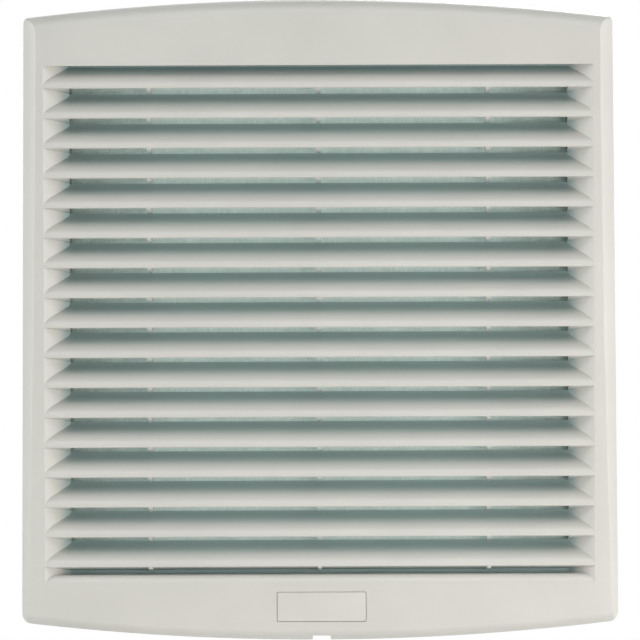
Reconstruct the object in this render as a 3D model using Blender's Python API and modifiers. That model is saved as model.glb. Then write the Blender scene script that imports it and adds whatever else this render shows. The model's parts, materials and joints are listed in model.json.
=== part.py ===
"""Cabinet filter fan: louvre cover, filter mat, mounting frame, cowl and axial fan.

The front of the fan faces -Y and +Z is up. The origin is the centre of the cut-out in
the cabinet wall, in the plane of the wall's front face. All sizes are in metres.
"""

import math

import bmesh
import bpy
from mathutils import Matrix
from mathutils import Vector

# Clearances
GAP = 0.0003  # between pieces that rest on each other
BORE_PLAY = 0.0003  # around a pin, screw or shaft

# Cut-out and mounting frame
CUTOUT = 0.223  # side of the square hole in the cabinet wall
COLLAR_PLAY = 0.0015  # between the collar and the edge of the cut-out
COLLAR_WALL = 0.0025
COLLAR_REAR = 0.022
FLANGE_LAP_X = 0.0085  # how far the flange covers the wall at each side of the cut-out
FLANGE_LAP_Z = 0.010  # the same above and below it
FLANGE_CORNER = 0.006
FLANGE_FRONT = -0.005
GASKET_THICK = 0.0017
GASKET_WIDTH = 0.0065
RIM_INSET = 0.005  # from the collar's outer face to the opening that the filter mat fills
RIM_WALL = 0.0015
RIM_FRONT = -0.0116
LEDGE_WIDTH = 0.003
LEDGE_THICK = 0.003
GRID_THICK = 0.0025
GRID_BAR = 0.0022
GRID_CELLS = 8
MAT_THICK = 0.0075
MAT_PLAY = 0.0004

# Cover outline and face
COVER_LAP_X = 0.0045  # how far the cover reaches past the flange at each bottom corner
COVER_LAP_Z = 0.0123  # how far the middle of its top and bottom edges reaches past the flange
COVER_TAPER = 0.0015  # each side leans in by this much towards the top
COVER_RISE = 0.0076  # crown of the top and bottom edges
COVER_WALL = 0.0025
COVER_FRONT = -0.026
COVER_REAR = -0.0025
COVER_SIDE_FRONT = -0.0206  # where the side walls turn into the 45 degree bevels
FACE_CREST_BELOW = 0.0258  # the face stands furthest forward this far below its top edge
FACE_BEND = 0.0573  # how fast the face falls back from there, per metre
FACE_ROWS = (-0.83, -0.6, -0.32, 0.0, 0.4)  # heights that carry its curve, as shares of half its height
TOP_CORNER = 0.0025
BOTTOM_CORNER = 0.004
TOP_ROLL = 0.015
TOP_ROLL_RADIUS = 0.045
BOTTOM_ROLL = 0.004
BOTTOM_ROLL_DROP = 0.003

# Louvre
BLADE_PITCH = 0.01247
BLADE_DEPTH = 0.0112
BLADE_RISE = 0.0106
# The upper surface of a blade, as shares of its depth and its rise
BLADE_SHAPE = ((0.067, 0.198), (0.201, 0.302), (0.580, 0.594), (0.9375, 0.877))
FIRST_TIP_BELOW = 0.00935  # from the top of the opening to the first blade's lower front edge
SIDE_BAND = 0.0099  # from the cover's side to the opening in its face
TOP_BAND = 0.0278
BOTTOM_BAND = 0.0275
SILL_EDGE = 0.0044
LOUVRE_WALL = 0.0025
MITRE = 0.94  # how far the side walls of the opening close in, per depth
OUTER_SPAN = 0.0335  # from the deep end of a blade to the nearest rib
RIB_THICK = 0.0018

# Badge field and pry notch
BADGE_X = 0.0006
BADGE_ABOVE = 0.014  # from the cover's bottom edge to the middle of the field
BADGE_WIDTH = 0.0374
BADGE_HEIGHT = 0.0126
BADGE_DEPTH = 0.0010
NOTCH_WIDTH = 0.0075
NOTCH_DEEP = 0.0019

# Cover hinge
HINGE_Y = -0.008
HINGE_BELOW = 0.0055  # from the cover's top edge to the hinge axis
HINGE_X = 0.030
KNUCKLE_RADIUS = 0.0022
ARM_WIDTH = 0.006
CHEEK_WIDTH = 0.003
HINGE_PIN_RADIUS = 0.0010
ARM_FOOT = 0.0055

# Snap tongue behind the pry notch
TONGUE_WIDTH = 0.010
TONGUE_THICK = 0.0025
HOOK_REACH = 0.0015
CATCH_HIGH = 0.00055
CATCH_DEEP = 0.0018

# Panel clips
CLIP_Z = 0.060
CLIP_WIDTH = 0.012
CLIP_PIN_Y = 0.0180
CLIP_PIN_INSET = 0.0024  # from the collar's outer face
CLIP_PIN_RADIUS = 0.0010
CLIP_NOSE_OUT = 0.0052  # how far the nose stands out of the collar
CLIP_NOSE_Y = 0.0036
CLIP_THICK = 0.0044
CLIP_PLAY = 0.0006
CLIP_BOSS = 0.004

# Cowl
COWL_PLATE = 0.0025
SHELF_WIDTH = 0.011  # flat rim of the cowl around its funnel
NECK_MARGIN = 0.003  # from the fan's edge to the narrow end of the funnel
COWL_REAR = 0.036
CORNER_POST = 0.011
COWL_SCREW_RADIUS = 0.0016
COWL_SCREW_LONG = 0.014

# Axial fan
FAN_INSET = 0.0255  # from the edge of the cut-out to the fan's edge, all round
FLAT_CUT = 0.011  # cut from the fan's round flange at each flat
FAN_DEPTH = 0.051
BORE_EDGE = 0.0025  # from a flat to the fan's bore
FAN_FLANGE = 0.004
TUBE_WALL = 0.0023
BOLT_EDGE = 0.005  # from the fan's edge to the middle of a bolt
BOLT_RADIUS = 0.0020
NUT_RADIUS = 0.0040
NUT_THICK = 0.0032
HEAD_RADIUS = 0.0038
HEAD_THICK = 0.0024
SEAT_RADIUS = 0.033
SEAT_THICK = 0.004
SPOKE_WIDTH = 0.007
SPOKES = 4
TIP_CLEARANCE = 0.0015

# Motor
SHAFT_RADIUS = 0.003
BEARING_RADIUS = 0.0077
BEARING_WIDE = 0.006
BEARING_TUBE_RADIUS = 0.0108
BEARING_TUBE_LONG = 0.028
MAGNET_ROOM = 0.003  # between the stator core and the inside of the cup
STATOR_LONG = 0.016
WINDING_RADIUS = 0.0030
CUP_RADIUS = 0.031
CUP_WALL = 0.0018
CUP_LONG = 0.031
CUP_HUB = 0.0065
HUB_WALL = 0.002
IMPELLER_BLADES = 7
IMPELLER_CHORD = 0.025
IMPELLER_BLADE_THICK = 0.0022
IMPELLER_SWEEP_HUB = 0.62  # radians that a blade turns through at the hub
IMPELLER_SWEEP_TIP = 0.46
CIRCLIP_RADIUS = 0.0052
CIRCLIP_THICK = 0.0010

# Finger guard
GUARD_RINGS = 5
GUARD_FIRST = 0.015
GUARD_SHY = 0.002  # from the fan's bore in to the outer ring
RING_WIRE = 0.0011
ARM_WIRE = 0.0013
EYE_RADIUS = 0.0052
EYE_THICK = 0.002
GUARD_STEPS = 26

# Connection block
BLOCK_X = 0.020
BLOCK_LONG = 0.030
BLOCK_HIGH = 0.009
BLOCK_DEEP = 0.014
BLOCK_POLES = 3
LEAD_RADIUS = 0.0011
LEAD_SPACING = 0.0034  # between the two leads in the grommet
GROMMET_RADIUS = 0.0055
EARTH_X = -0.012
EARTH_OUT = 0.0075  # from the fan's bore to the earth screw
EARTH_SCREW_RADIUS = 0.0015
TAG_THICK = 0.0008

# Sides of round pieces
FINE = 40
ROUND = 20
SMALL = 12

# Places that follow from the sizes above
COLLAR_HALF = CUTOUT / 2 - COLLAR_PLAY
COLLAR_INNER = COLLAR_HALF - COLLAR_WALL
RIM_INNER = COLLAR_HALF - RIM_INSET
LEDGE_INNER = RIM_INNER - LEDGE_WIDTH
FLANGE_WIDTH = CUTOUT + 2 * FLANGE_LAP_X
FLANGE_HEIGHT = CUTOUT + 2 * FLANGE_LAP_Z
FLANGE_REAR = -GASKET_THICK - GAP
COVER_WIDTH = FLANGE_WIDTH + 2 * COVER_LAP_X
COVER_HEIGHT = FLANGE_HEIGHT + 2 * COVER_LAP_Z
CORNER_Z = COVER_HEIGHT / 2 - COVER_RISE
FACE_CREST_Z = COVER_HEIGHT / 2 - FACE_CREST_BELOW
LOUVRE_HALF = COVER_WIDTH / 2 - SIDE_BAND
LOUVRE_TOP_Z = COVER_HEIGHT / 2 - TOP_BAND
FIRST_TIP_Z = LOUVRE_TOP_Z - FIRST_TIP_BELOW
SILL_Z = BOTTOM_BAND - COVER_HEIGHT / 2
BLADES = int((LOUVRE_TOP_Z - SILL_Z) / BLADE_PITCH)
DEEP_HALF = LOUVRE_HALF - MITRE * BLADE_DEPTH
RIB_PITCH = DEEP_HALF - OUTER_SPAN
BADGE_Z = BADGE_ABOVE - COVER_HEIGHT / 2
HINGE_Z = COVER_HEIGHT / 2 - HINGE_BELOW
FAN_DIAMETER = CUTOUT - 2 * FAN_INSET
FAN_FLATS = FAN_DIAMETER - 2 * FLAT_CUT
FAN_BORE = FAN_FLATS / 2 - BORE_EDGE
BOLT_CIRCLE = FAN_DIAMETER - 2 * BOLT_EDGE
GUARD_LAST = FAN_BORE - GUARD_SHY
COWL_SHOULDER = COLLAR_HALF - SHELF_WIDTH
COWL_NECK = FAN_DIAMETER / 2 + NECK_MARGIN
COWL_FRONT = COLLAR_REAR + GAP
FAN_FRONT = COWL_REAR + GAP
FAN_REAR = FAN_FRONT + FAN_DEPTH
SEAT_FRONT = FAN_REAR - SEAT_THICK
CUP_REAR = SEAT_FRONT - 0.0022
CUP_FRONT = CUP_REAR - CUP_LONG
TUBE_FRONT = SEAT_FRONT - BEARING_TUBE_LONG
STATOR_RADIUS = CUP_RADIUS - CUP_WALL - MAGNET_ROOM
HUB_RADIUS = CUP_RADIUS + GAP + HUB_WALL
BOLT_SIDE = BOLT_CIRCLE / 2 * math.sqrt(0.5)
EYE_FRONT = FAN_REAR + GAP
ARM_Y = EYE_FRONT + ARM_WIRE + 0.0001
RING_Y = ARM_Y + ARM_WIRE
CLIP_PIN_X = COLLAR_HALF - CLIP_PIN_INSET
POST_CENTRE = COLLAR_INNER - CORNER_POST / 2 + 0.0005

for old in list(bpy.data.objects):
    bpy.data.objects.remove(old, do_unlink=True)


def new_group(name):
    """A collection linked to the scene."""
    group = bpy.data.collections.new(name)
    bpy.context.scene.collection.children.link(group)
    return group


PIECES = new_group("cabinet_filter_fan")
CUTTERS = new_group("cutters")


def object_from(bm, name):
    """Turn a bmesh into an object whose faces point outwards."""
    bmesh.ops.recalc_face_normals(bm, faces=bm.faces)
    mesh = bpy.data.meshes.new(name)
    bm.to_mesh(mesh)
    bm.free()
    piece = bpy.data.objects.new(name, mesh)
    PIECES.objects.link(piece)
    return piece


def move_to_cutters(tool):
    """Keep a tool out of the model, shown as wires."""
    tool.hide_render = True
    tool.display_type = "WIRE"
    for group in list(tool.users_collection):
        group.objects.unlink(tool)
    CUTTERS.objects.link(tool)


def boolean(piece, tool, operation):
    """Add one Boolean step to a piece."""
    step = piece.modifiers.new(operation.lower(), "BOOLEAN")
    step.operation = operation
    step.solver = "EXACT"
    step.object = tool
    move_to_cutters(tool)


def cut(piece, *tools):
    for tool in tools:
        boolean(piece, tool, "DIFFERENCE")


def join(piece, *tools):
    for tool in tools:
        boolean(piece, tool, "UNION")


def add_block(bm, low, high):
    """Add a cube primitive between two corners."""
    low = Vector(low)
    high = Vector(high)
    verts = bmesh.ops.create_cube(bm, size=1.0)["verts"]
    bmesh.ops.scale(bm, vec=high - low, verts=verts)
    bmesh.ops.translate(bm, vec=(high + low) / 2, verts=verts)
    return verts


def block(name, low, high):
    bm = bmesh.new()
    add_block(bm, low, high)
    return object_from(bm, name)


def plate(name, half_x, half_z, front, rear, corner=0.0, segments=3):
    """A rectangular plate or bar across Y, with round corners where corner is set."""
    bm = bmesh.new()
    add_block(bm, (-half_x, front, -half_z), (half_x, rear, half_z))
    if corner > 0:
        along_y = [e for e in bm.edges if abs(e.verts[0].co.y - e.verts[1].co.y) > GAP]
        bmesh.ops.bevel(bm, geom=along_y, offset=corner, segments=segments, profile=0.5, affect="EDGES")
    return object_from(bm, name)


def add_rod(bm, start, end, radius, sides, end_radius=None):
    """Add a cylinder, or a cone with end_radius, from one point to another."""
    start = Vector(start)
    along = Vector(end) - start
    last = radius if end_radius is None else end_radius
    place = Matrix.Translation(start + along / 2) @ along.to_track_quat("Z", "Y").to_matrix().to_4x4()
    made = bmesh.ops.create_cone(
        bm, cap_ends=True, segments=sides, radius1=radius, radius2=last, depth=along.length, matrix=place
    )
    return made["verts"]


def rod(name, start, end, radius, sides=SMALL, end_radius=None):
    bm = bmesh.new()
    add_rod(bm, start, end, radius, sides, end_radius)
    return object_from(bm, name)


def rods(name, ends, radius, sides=SMALL):
    """Several separate rods in one tool."""
    bm = bmesh.new()
    for start, end in ends:
        add_rod(bm, start, end, radius, sides)
    return object_from(bm, name)


def blocks(name, corners):
    """Several separate blocks in one tool."""
    bm = bmesh.new()
    for low, high in corners:
        add_block(bm, low, high)
    return object_from(bm, name)


def add_loft(bm, rings):
    """Skin a row of rings that have equally many points, and cap both ends."""
    loops = [[bm.verts.new(point) for point in ring] for ring in rings]
    for first, second in zip(loops, loops[1:]):
        for i in range(len(first)):
            j = (i + 1) % len(first)
            bm.faces.new((first[i], first[j], second[j], second[i]))
    bm.faces.new(loops[0])
    bm.faces.new(list(reversed(loops[-1])))


def lofts(name, rows):
    """One tool or piece made of one loft for each row of rings."""
    bm = bmesh.new()
    for rings in rows:
        add_loft(bm, rings)
    return object_from(bm, name)


def turned(name, profile, steps=ROUND, closed=True):
    """Turn a profile of (radius, y) points about the Y axis, listed from rear to front outside."""
    bm = bmesh.new()
    verts = [bm.verts.new((radius, 0.0, y)) for radius, y in profile]
    for first, second in zip(verts, verts[1:]):
        bm.edges.new((first, second))
    if closed:
        bm.edges.new((verts[-1], verts[0]))
    mesh = bpy.data.meshes.new(name)
    bm.to_mesh(mesh)
    bm.free()
    piece = bpy.data.objects.new(name, mesh)
    PIECES.objects.link(piece)
    piece.rotation_euler = (-math.pi / 2, 0.0, 0.0)
    spin = piece.modifiers.new("turn", "SCREW")
    spin.axis = "Z"
    spin.angle = 2 * math.pi
    spin.steps = steps
    spin.render_steps = steps
    spin.use_merge_vertices = True
    spin.merge_threshold = 0.00001
    spin.use_smooth_shade = True
    return piece


def ring(name, inner, outer, front, rear, steps=ROUND):
    """A plain turned ring about the Y axis."""
    return turned(name, [(outer, rear), (outer, front), (inner, front), (inner, rear)], steps)


def set_origin(piece, point):
    """Move a piece's origin to a point on its joint axis and leave its shape in place."""
    point = Vector(point)
    piece.data.transform(Matrix.Translation(-point))
    piece.location = point


def wire(name, points, radius):
    """A round lead along a smooth route through the given points."""
    guide = bpy.data.curves.new(name, "CURVE")
    guide.dimensions = "3D"
    guide.bevel_depth = radius
    guide.bevel_resolution = 2
    guide.use_fill_caps = True
    route = smooth_route([Vector(point) for point in points], 3)
    spline = guide.splines.new("POLY")
    spline.points.add(len(route) - 1)
    for knot, point in zip(spline.points, route):
        knot.co = (point.x, point.y, point.z, 1.0)
    piece = bpy.data.objects.new(name, guide)
    PIECES.objects.link(piece)
    return piece


def smooth_route(points, steps):
    """Points on a Catmull-Rom curve through the given points."""
    ends = [2 * points[0] - points[1]] + points + [2 * points[-1] - points[-2]]
    route = []
    for a, b, c, d in zip(ends, ends[1:], ends[2:], ends[3:]):
        for i in range(steps):
            t = i / steps
            bend = 2 * a - 5 * b + 4 * c - d
            twist = 3 * b - a - 3 * c + d
            route.append(0.5 * (2 * b + (c - a) * t + bend * t**2 + twist * t**3))
    route.append(points[-1])
    return route


# Cover


def face_y(z):
    """Where the front face of the cover lies at a height."""
    return COVER_FRONT + FACE_BEND * (z - FACE_CREST_Z) ** 2


def cover_half(z):
    """Half the cover's width at a height."""
    return COVER_WIDTH / 2 - COVER_TAPER * (z + CORNER_Z) / (2 * CORNER_Z)


def edge_z(x):
    """How far the crowned top or bottom edge lies from the middle."""
    return COVER_HEIGHT / 2 - COVER_RISE * (x / (COVER_WIDTH / 2)) ** 2


def round_in(distance, radius):
    """How far a corner of a radius pulls in, at a distance from the edge."""
    if distance >= radius:
        return 0.0
    return radius - math.sqrt(radius**2 - (radius - distance) ** 2)


def face_drop(below_top, above_bottom):
    """How far the face rolls back near the top and bottom edges."""
    drop = 0.0
    if below_top < TOP_ROLL:
        drop = TOP_ROLL_RADIUS - math.sqrt(TOP_ROLL_RADIUS**2 - (TOP_ROLL - below_top) ** 2)
    if above_bottom < BOTTOM_ROLL:
        drop = BOTTOM_ROLL_DROP * (1 - above_bottom / BOTTOM_ROLL) ** 2
    return drop


def cover_row(side, distance, inset):
    """Points across the cover at a distance from its top or bottom edge, or at a height."""
    corner = TOP_CORNER if side == "top" else BOTTOM_CORNER
    corner = max(corner - inset, GAP)
    if side == "height":
        height = distance
        half = cover_half(height) - inset
    else:
        height = CORNER_Z - distance if side == "top" else distance - CORNER_Z
        half = cover_half(height) - inset - round_in(distance, corner)
    side_front = COVER_SIDE_FRONT + inset * (math.sqrt(2) - 1)

    def height_at(x):
        if side == "top":
            return edge_z(x) - inset - distance
        if side == "bottom":
            return distance + inset - edge_z(x)
        return height

    def face_at(x):
        z = height_at(x)
        return face_y(z) + inset + face_drop(edge_z(x) - inset - z, z + edge_z(x) - inset)

    bevel = max(side_front - face_at(half), GAP)
    shares = [-1 + i / 4 for i in range(9)]
    row = [(-half, max(side_front, face_at(half)), height_at(half))]
    for share in shares:
        x = share * (half - bevel)
        row.append((x, face_at(x), height_at(x)))
    row.append((half, max(side_front, face_at(half)), height_at(half)))
    return row


def cover_form(name, inset, rear):
    """The cover's outer form, or its hollow with an inset, closed off at a rear plane."""
    bottom = max(BOTTOM_CORNER - inset, GAP)
    top = max(TOP_CORNER - inset, GAP)
    rows = [cover_row("bottom", share * bottom, inset) for share in (0.0, 0.3)]
    rows.append(cover_row("bottom", BOTTOM_ROLL, inset))
    for share in FACE_ROWS:
        rows.append(cover_row("height", share * CORNER_Z, inset))
    rows += [cover_row("top", share * TOP_ROLL, inset) for share in (1.0, 0.67, 0.35)]
    rows += [cover_row("top", share * top, inset) for share in (1.0, 0.3, 0.0)]
    bm = bmesh.new()
    grid = [[bm.verts.new(point) for point in row] for row in rows]
    for lower, upper in zip(grid, grid[1:]):
        for i in range(len(lower) - 1):
            bm.faces.new((lower[i], lower[i + 1], upper[i + 1], upper[i]))
    border = [edge for edge in bm.edges if edge.is_boundary]
    walls = bmesh.ops.extrude_edge_only(bm, edges=border)["geom"]
    for vert in [item for item in walls if isinstance(item, bmesh.types.BMVert)]:
        vert.co.y = rear
    rear_edges = [item for item in walls if isinstance(item, bmesh.types.BMEdge) and item.is_boundary]
    bmesh.ops.contextual_create(bm, geom=rear_edges)
    return object_from(bm, name)


def tip_z(blade):
    """The height of a blade's lower front edge."""
    return FIRST_TIP_Z - blade * BLADE_PITCH


def blade_top(start):
    """The upper surface of a blade above its tip, as (depth, height) points."""
    return [(0.0, start)] + [(BLADE_DEPTH * deep, BLADE_RISE * high) for deep, high in BLADE_SHAPE]


def pocket_section(slot):
    """The pocket in front of a blade, as (depth, height) points with real heights."""
    base = tip_z(slot)
    fore = -0.003
    if slot == BLADES:
        front = tip_z(BLADES - 1)
        return [
            (fore, SILL_Z - SILL_EDGE),
            (0.0, SILL_Z - SILL_EDGE),
            (SILL_EDGE * 0.3, SILL_Z - SILL_EDGE * 0.3),
            (SILL_EDGE, SILL_Z),
            (BLADE_DEPTH - GAP, SILL_Z),
            (BLADE_DEPTH - GAP, front - 0.0019),
            (0.0, front),
            (fore, front - 0.0004),
        ]
    section = [(fore, base + 0.0009)]
    if slot == 0:
        surface = blade_top(0.0005)[:4]
        section += [(depth, base + height) for depth, height in surface]
        section.append((BLADE_DEPTH - 0.0026, LOUVRE_TOP_Z - 0.0014))
        section += [(0.0, LOUVRE_TOP_Z), (fore, LOUVRE_TOP_Z)]
        return section
    section += [(depth, base + height) for depth, height in blade_top(0.0005)]
    section.append((BLADE_DEPTH, base + BLADE_RISE))
    section += [(0.0, base + BLADE_PITCH), (fore, base + BLADE_PITCH - 0.0004)]
    return section


def gap_section(slot):
    """The way through between two blades, below the underside of the upper one."""
    above = tip_z(slot - 1)
    fore = 0.0013
    aft = BLADE_DEPTH + 0.003
    slope = 0.724
    section = [(fore, above + 0.00004), (fore, above - 0.0006)]
    if slot == BLADES:
        section += [(BLADE_DEPTH - 0.001, SILL_Z + 0.0006), (aft, SILL_Z + 0.0006)]
    else:
        section.append((BLADE_DEPTH * 0.8, tip_z(slot) + BLADE_RISE * 0.943))
        section.append((aft, tip_z(slot) + BLADE_RISE + 0.0004))
    section.append((aft, above + 0.00004 + slope * (aft - fore)))
    return section


def louvre_ring(section, end):
    """Put a section of (depth, height) at one end, given as a function of the depth."""
    return [(end(depth), face_y(z) + depth, z) for depth, z in section]


def louvre_tools():
    """The front pockets with mitred ends, and the ways through between the ribs."""
    pockets = []
    for slot in range(BLADES + 1):
        section = pocket_section(slot)
        left = louvre_ring(section, lambda depth: MITRE * depth - LOUVRE_HALF)
        right = louvre_ring(section, lambda depth: LOUVRE_HALF - MITRE * depth)
        pockets.append([left, right])
    rib = RIB_THICK / 2
    spans = [
        (-DEEP_HALF, -RIB_PITCH - rib),
        (-RIB_PITCH + rib, -rib),
        (rib, RIB_PITCH - rib),
        (RIB_PITCH + rib, DEEP_HALF),
    ]
    ways = []
    for slot in range(1, BLADES + 1):
        section = gap_section(slot)
        for start, end in spans:
            left = louvre_ring(section, lambda depth, x=start: x)
            right = louvre_ring(section, lambda depth, x=end: x)
            ways.append([left, right])
    return lofts("louvre_pockets", pockets), lofts("louvre_ways", ways)


def louvre_core():
    """The solid that stays inside the hollow cover, from which the louvre is cut."""
    bottom = SILL_Z - SILL_EDGE - LOUVRE_WALL
    top = LOUVRE_TOP_Z + LOUVRE_WALL
    fore = 0.003
    rows = 8
    rings = []
    for i in range(rows + 1):
        z = bottom + (top - bottom) * i / rows
        outer = LOUVRE_HALF + LOUVRE_WALL + MITRE * fore
        inner = DEEP_HALF + LOUVRE_WALL
        front = face_y(z) - fore
        rear = face_y(z) + BLADE_DEPTH
        rings.append([(-outer, front, z), (outer, front, z), (inner, rear, z), (-inner, rear, z)])
    return lofts("louvre_core", [rings])


def badge_box(name, grow, front, rear):
    """A box over the badge field, turned with the slope of the face."""
    half_x = BADGE_WIDTH / 2 + grow
    half_z = BADGE_HEIGHT / 2 + grow
    box = block(name, (-half_x, front, -half_z), (half_x, rear, half_z))
    box.location = (BADGE_X, face_y(BADGE_Z), BADGE_Z)
    box.rotation_euler = (math.atan(2 * FACE_BEND * (FACE_CREST_Z - BADGE_Z)), 0.0, 0.0)
    return box


def cheek_blocks():
    """The pairs of cheeks under the cover's top wall that hold the hinge pins."""
    corners = []
    for side in (-1, 1):
        for offset in (-1, 1):
            near = side * HINGE_X + offset * (ARM_WIDTH / 2 + GAP)
            far = near + offset * CHEEK_WIDTH
            top = edge_z(HINGE_X) - COVER_WALL + 0.0008
            low = (min(near, far), HINGE_Y - KNUCKLE_RADIUS, HINGE_Z - KNUCKLE_RADIUS)
            high = (max(near, far), HINGE_Y + KNUCKLE_RADIUS, top)
            corners.append((low, high))
    return blocks("hinge_cheeks", corners)


def hinge_bores(name):
    """The holes for the two hinge pins."""
    reach = ARM_WIDTH / 2 + CHEEK_WIDTH + 0.001
    ends = []
    for side in (-1, 1):
        start = (side * HINGE_X - reach, HINGE_Y, HINGE_Z)
        end = (side * HINGE_X + reach, HINGE_Y, HINGE_Z)
        ends.append((start, end))
    return rods(name, ends, HINGE_PIN_RADIUS + BORE_PLAY)


def make_cover():
    """The moulded louvre cover with its hinge cheeks, badge field and pry notch."""
    cover = cover_form("front_cover", 0.0, COVER_REAR)
    hollow = cover_form("cover_hollow", COVER_WALL, COVER_REAR + 0.001)
    cut(hollow, louvre_core())
    cut(cover, hollow)
    pockets, ways = louvre_tools()
    cut(cover, pockets, ways)
    join(cover, cheek_blocks())
    cut(cover, hinge_bores("cheek_bores"))
    inner_floor = -COVER_HEIGHT / 2 + COVER_WALL
    catch_rear = FLANGE_FRONT + 0.0005
    catch = block(
        "cover_catch",
        (BADGE_X - TONGUE_WIDTH / 2, catch_rear - CATCH_DEEP, inner_floor - 0.0008),
        (BADGE_X + TONGUE_WIDTH / 2, catch_rear, inner_floor + CATCH_HIGH),
    )
    join(cover, catch)
    notch = block(
        "pry_notch",
        (BADGE_X - NOTCH_WIDTH / 2, COVER_FRONT - 0.002, -COVER_HEIGHT / 2 - 0.002),
        (BADGE_X + NOTCH_WIDTH / 2, COVER_REAR + 0.002, -COVER_HEIGHT / 2 + NOTCH_DEEP),
    )
    cut(cover, badge_box("badge_field", 0.0, -0.003, BADGE_DEPTH), notch)
    set_origin(cover, (0.0, HINGE_Y, HINGE_Z))


def make_badge_plate():
    """The bare plate that fills the badge field."""
    badge_box("badge_plate", -GAP, 0.0, BADGE_DEPTH - GAP)


def make_hinge_pins():
    """One pin for each hinge, held in the cheeks."""
    reach = ARM_WIDTH / 2 + CHEEK_WIDTH
    for side, label in ((-1, "left"), (1, "right")):
        start = (side * HINGE_X - reach, HINGE_Y, HINGE_Z)
        end = (side * HINGE_X + reach, HINGE_Y, HINGE_Z)
        pin = rod("cover_hinge_pin_" + label, start, end, HINGE_PIN_RADIUS)
        set_origin(pin, (side * HINGE_X, HINGE_Y, HINGE_Z))


# Mounting frame


def hinge_arms():
    """The two arms that carry the cover's hinge pins in front of the flange."""
    corners = []
    ends = []
    foot = FLANGE_HEIGHT / 2 - ARM_FOOT
    for side in (-1, 1):
        low_x = side * HINGE_X - ARM_WIDTH / 2
        high_x = side * HINGE_X + ARM_WIDTH / 2
        low = (low_x, HINGE_Y - KNUCKLE_RADIUS, foot)
        high = (high_x, HINGE_Y + KNUCKLE_RADIUS, HINGE_Z)
        corners.append((low, high))
        ends.append(((low_x, HINGE_Y, HINGE_Z), (high_x, HINGE_Y, HINGE_Z)))
    arms = blocks("hinge_arms", corners)
    join(arms, rods("hinge_knuckles", ends, KNUCKLE_RADIUS, ROUND))
    feet = []
    for side in (-1, 1):
        low = (side * HINGE_X - ARM_WIDTH / 2 + GAP, HINGE_Y, foot + GAP)
        high = (side * HINGE_X + ARM_WIDTH / 2 - GAP, FLANGE_FRONT + 0.001, FLANGE_HEIGHT / 2 - GAP)
        feet.append((low, high))
    join(arms, blocks("hinge_feet", feet))
    return arms


def snap_tongue():
    """The tongue that a screwdriver in the pry notch pushes up to free the cover."""
    tip = -COVER_HEIGHT / 2 + COVER_WALL + CATCH_HIGH + 0.00035
    rear = FLANGE_FRONT + 0.001
    front = FLANGE_FRONT - TONGUE_THICK - CATCH_DEEP
    low_x = BADGE_X - TONGUE_WIDTH / 2
    high_x = BADGE_X + TONGUE_WIDTH / 2
    root = -FLANGE_HEIGHT / 2 + 0.006
    return lofts(
        "snap_tongue",
        [
            [
                [
                    (x, rear, root),
                    (x, front + HOOK_REACH, root),
                    (x, front + HOOK_REACH, tip + 0.002),
                    (x, front, tip + 0.001),
                    (x, front, tip),
                    (x, front + HOOK_REACH + 0.001, tip),
                    (x, front + HOOK_REACH + TONGUE_THICK, -FLANGE_HEIGHT / 2 + 0.002),
                    (x, rear, -FLANGE_HEIGHT / 2 + 0.002),
                ]
                for x in (low_x, high_x)
            ]
        ],
    )


def clip_places():
    """The side and height of each panel clip, with its number."""
    places = []
    number = 1
    for side in (-1, 1):
        for height in (CLIP_Z, -CLIP_Z):
            places.append((number, side, height))
            number += 1
    return places


def clip_windows():
    """The windows in the collar that the panel clips swing into."""
    corners = []
    half = CLIP_WIDTH / 2 + CLIP_PLAY
    for _, side, height in clip_places():
        xs = sorted((side * (LEDGE_INNER - 0.001), side * (COLLAR_HALF + 0.002)))
        low = (xs[0], CLIP_NOSE_Y - 0.0024, height - half)
        high = (xs[1], COLLAR_REAR - 0.0009, height + half)
        corners.append((low, high))
    return blocks("clip_windows", corners)


def clip_bosses():
    """The bosses inside the collar that hold the ends of the clip pins."""
    corners = []
    for _, side, height in clip_places():
        xs = sorted((side * (CLIP_PIN_X - 0.0028), side * (COLLAR_HALF - 0.001)))
        for offset in (-1, 1):
            near = height + offset * (CLIP_WIDTH / 2 + CLIP_PLAY)
            far = near + offset * CLIP_BOSS
            low = (xs[0], CLIP_PIN_Y - 0.003, min(near, far))
            high = (xs[1], CLIP_PIN_Y + 0.0026, max(near, far))
            corners.append((low, high))
    return blocks("clip_bosses", corners)


def clip_pin_ends(height, length):
    return height - length / 2, height + length / 2


def clip_bores():
    """The holes for the clip pins."""
    ends = []
    for _, side, height in clip_places():
        low, high = clip_pin_ends(height, CLIP_WIDTH + 2 * CLIP_PLAY + 2 * CLIP_BOSS + 0.002)
        x = side * CLIP_PIN_X
        ends.append(((x, CLIP_PIN_Y, low), (x, CLIP_PIN_Y, high)))
    return rods("clip_bores", ends, CLIP_PIN_RADIUS + BORE_PLAY)


def corner_places():
    """The numbers and signs of the four corners."""
    return [(1, -1, 1), (2, 1, 1), (3, 1, -1), (4, -1, -1)]


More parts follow.
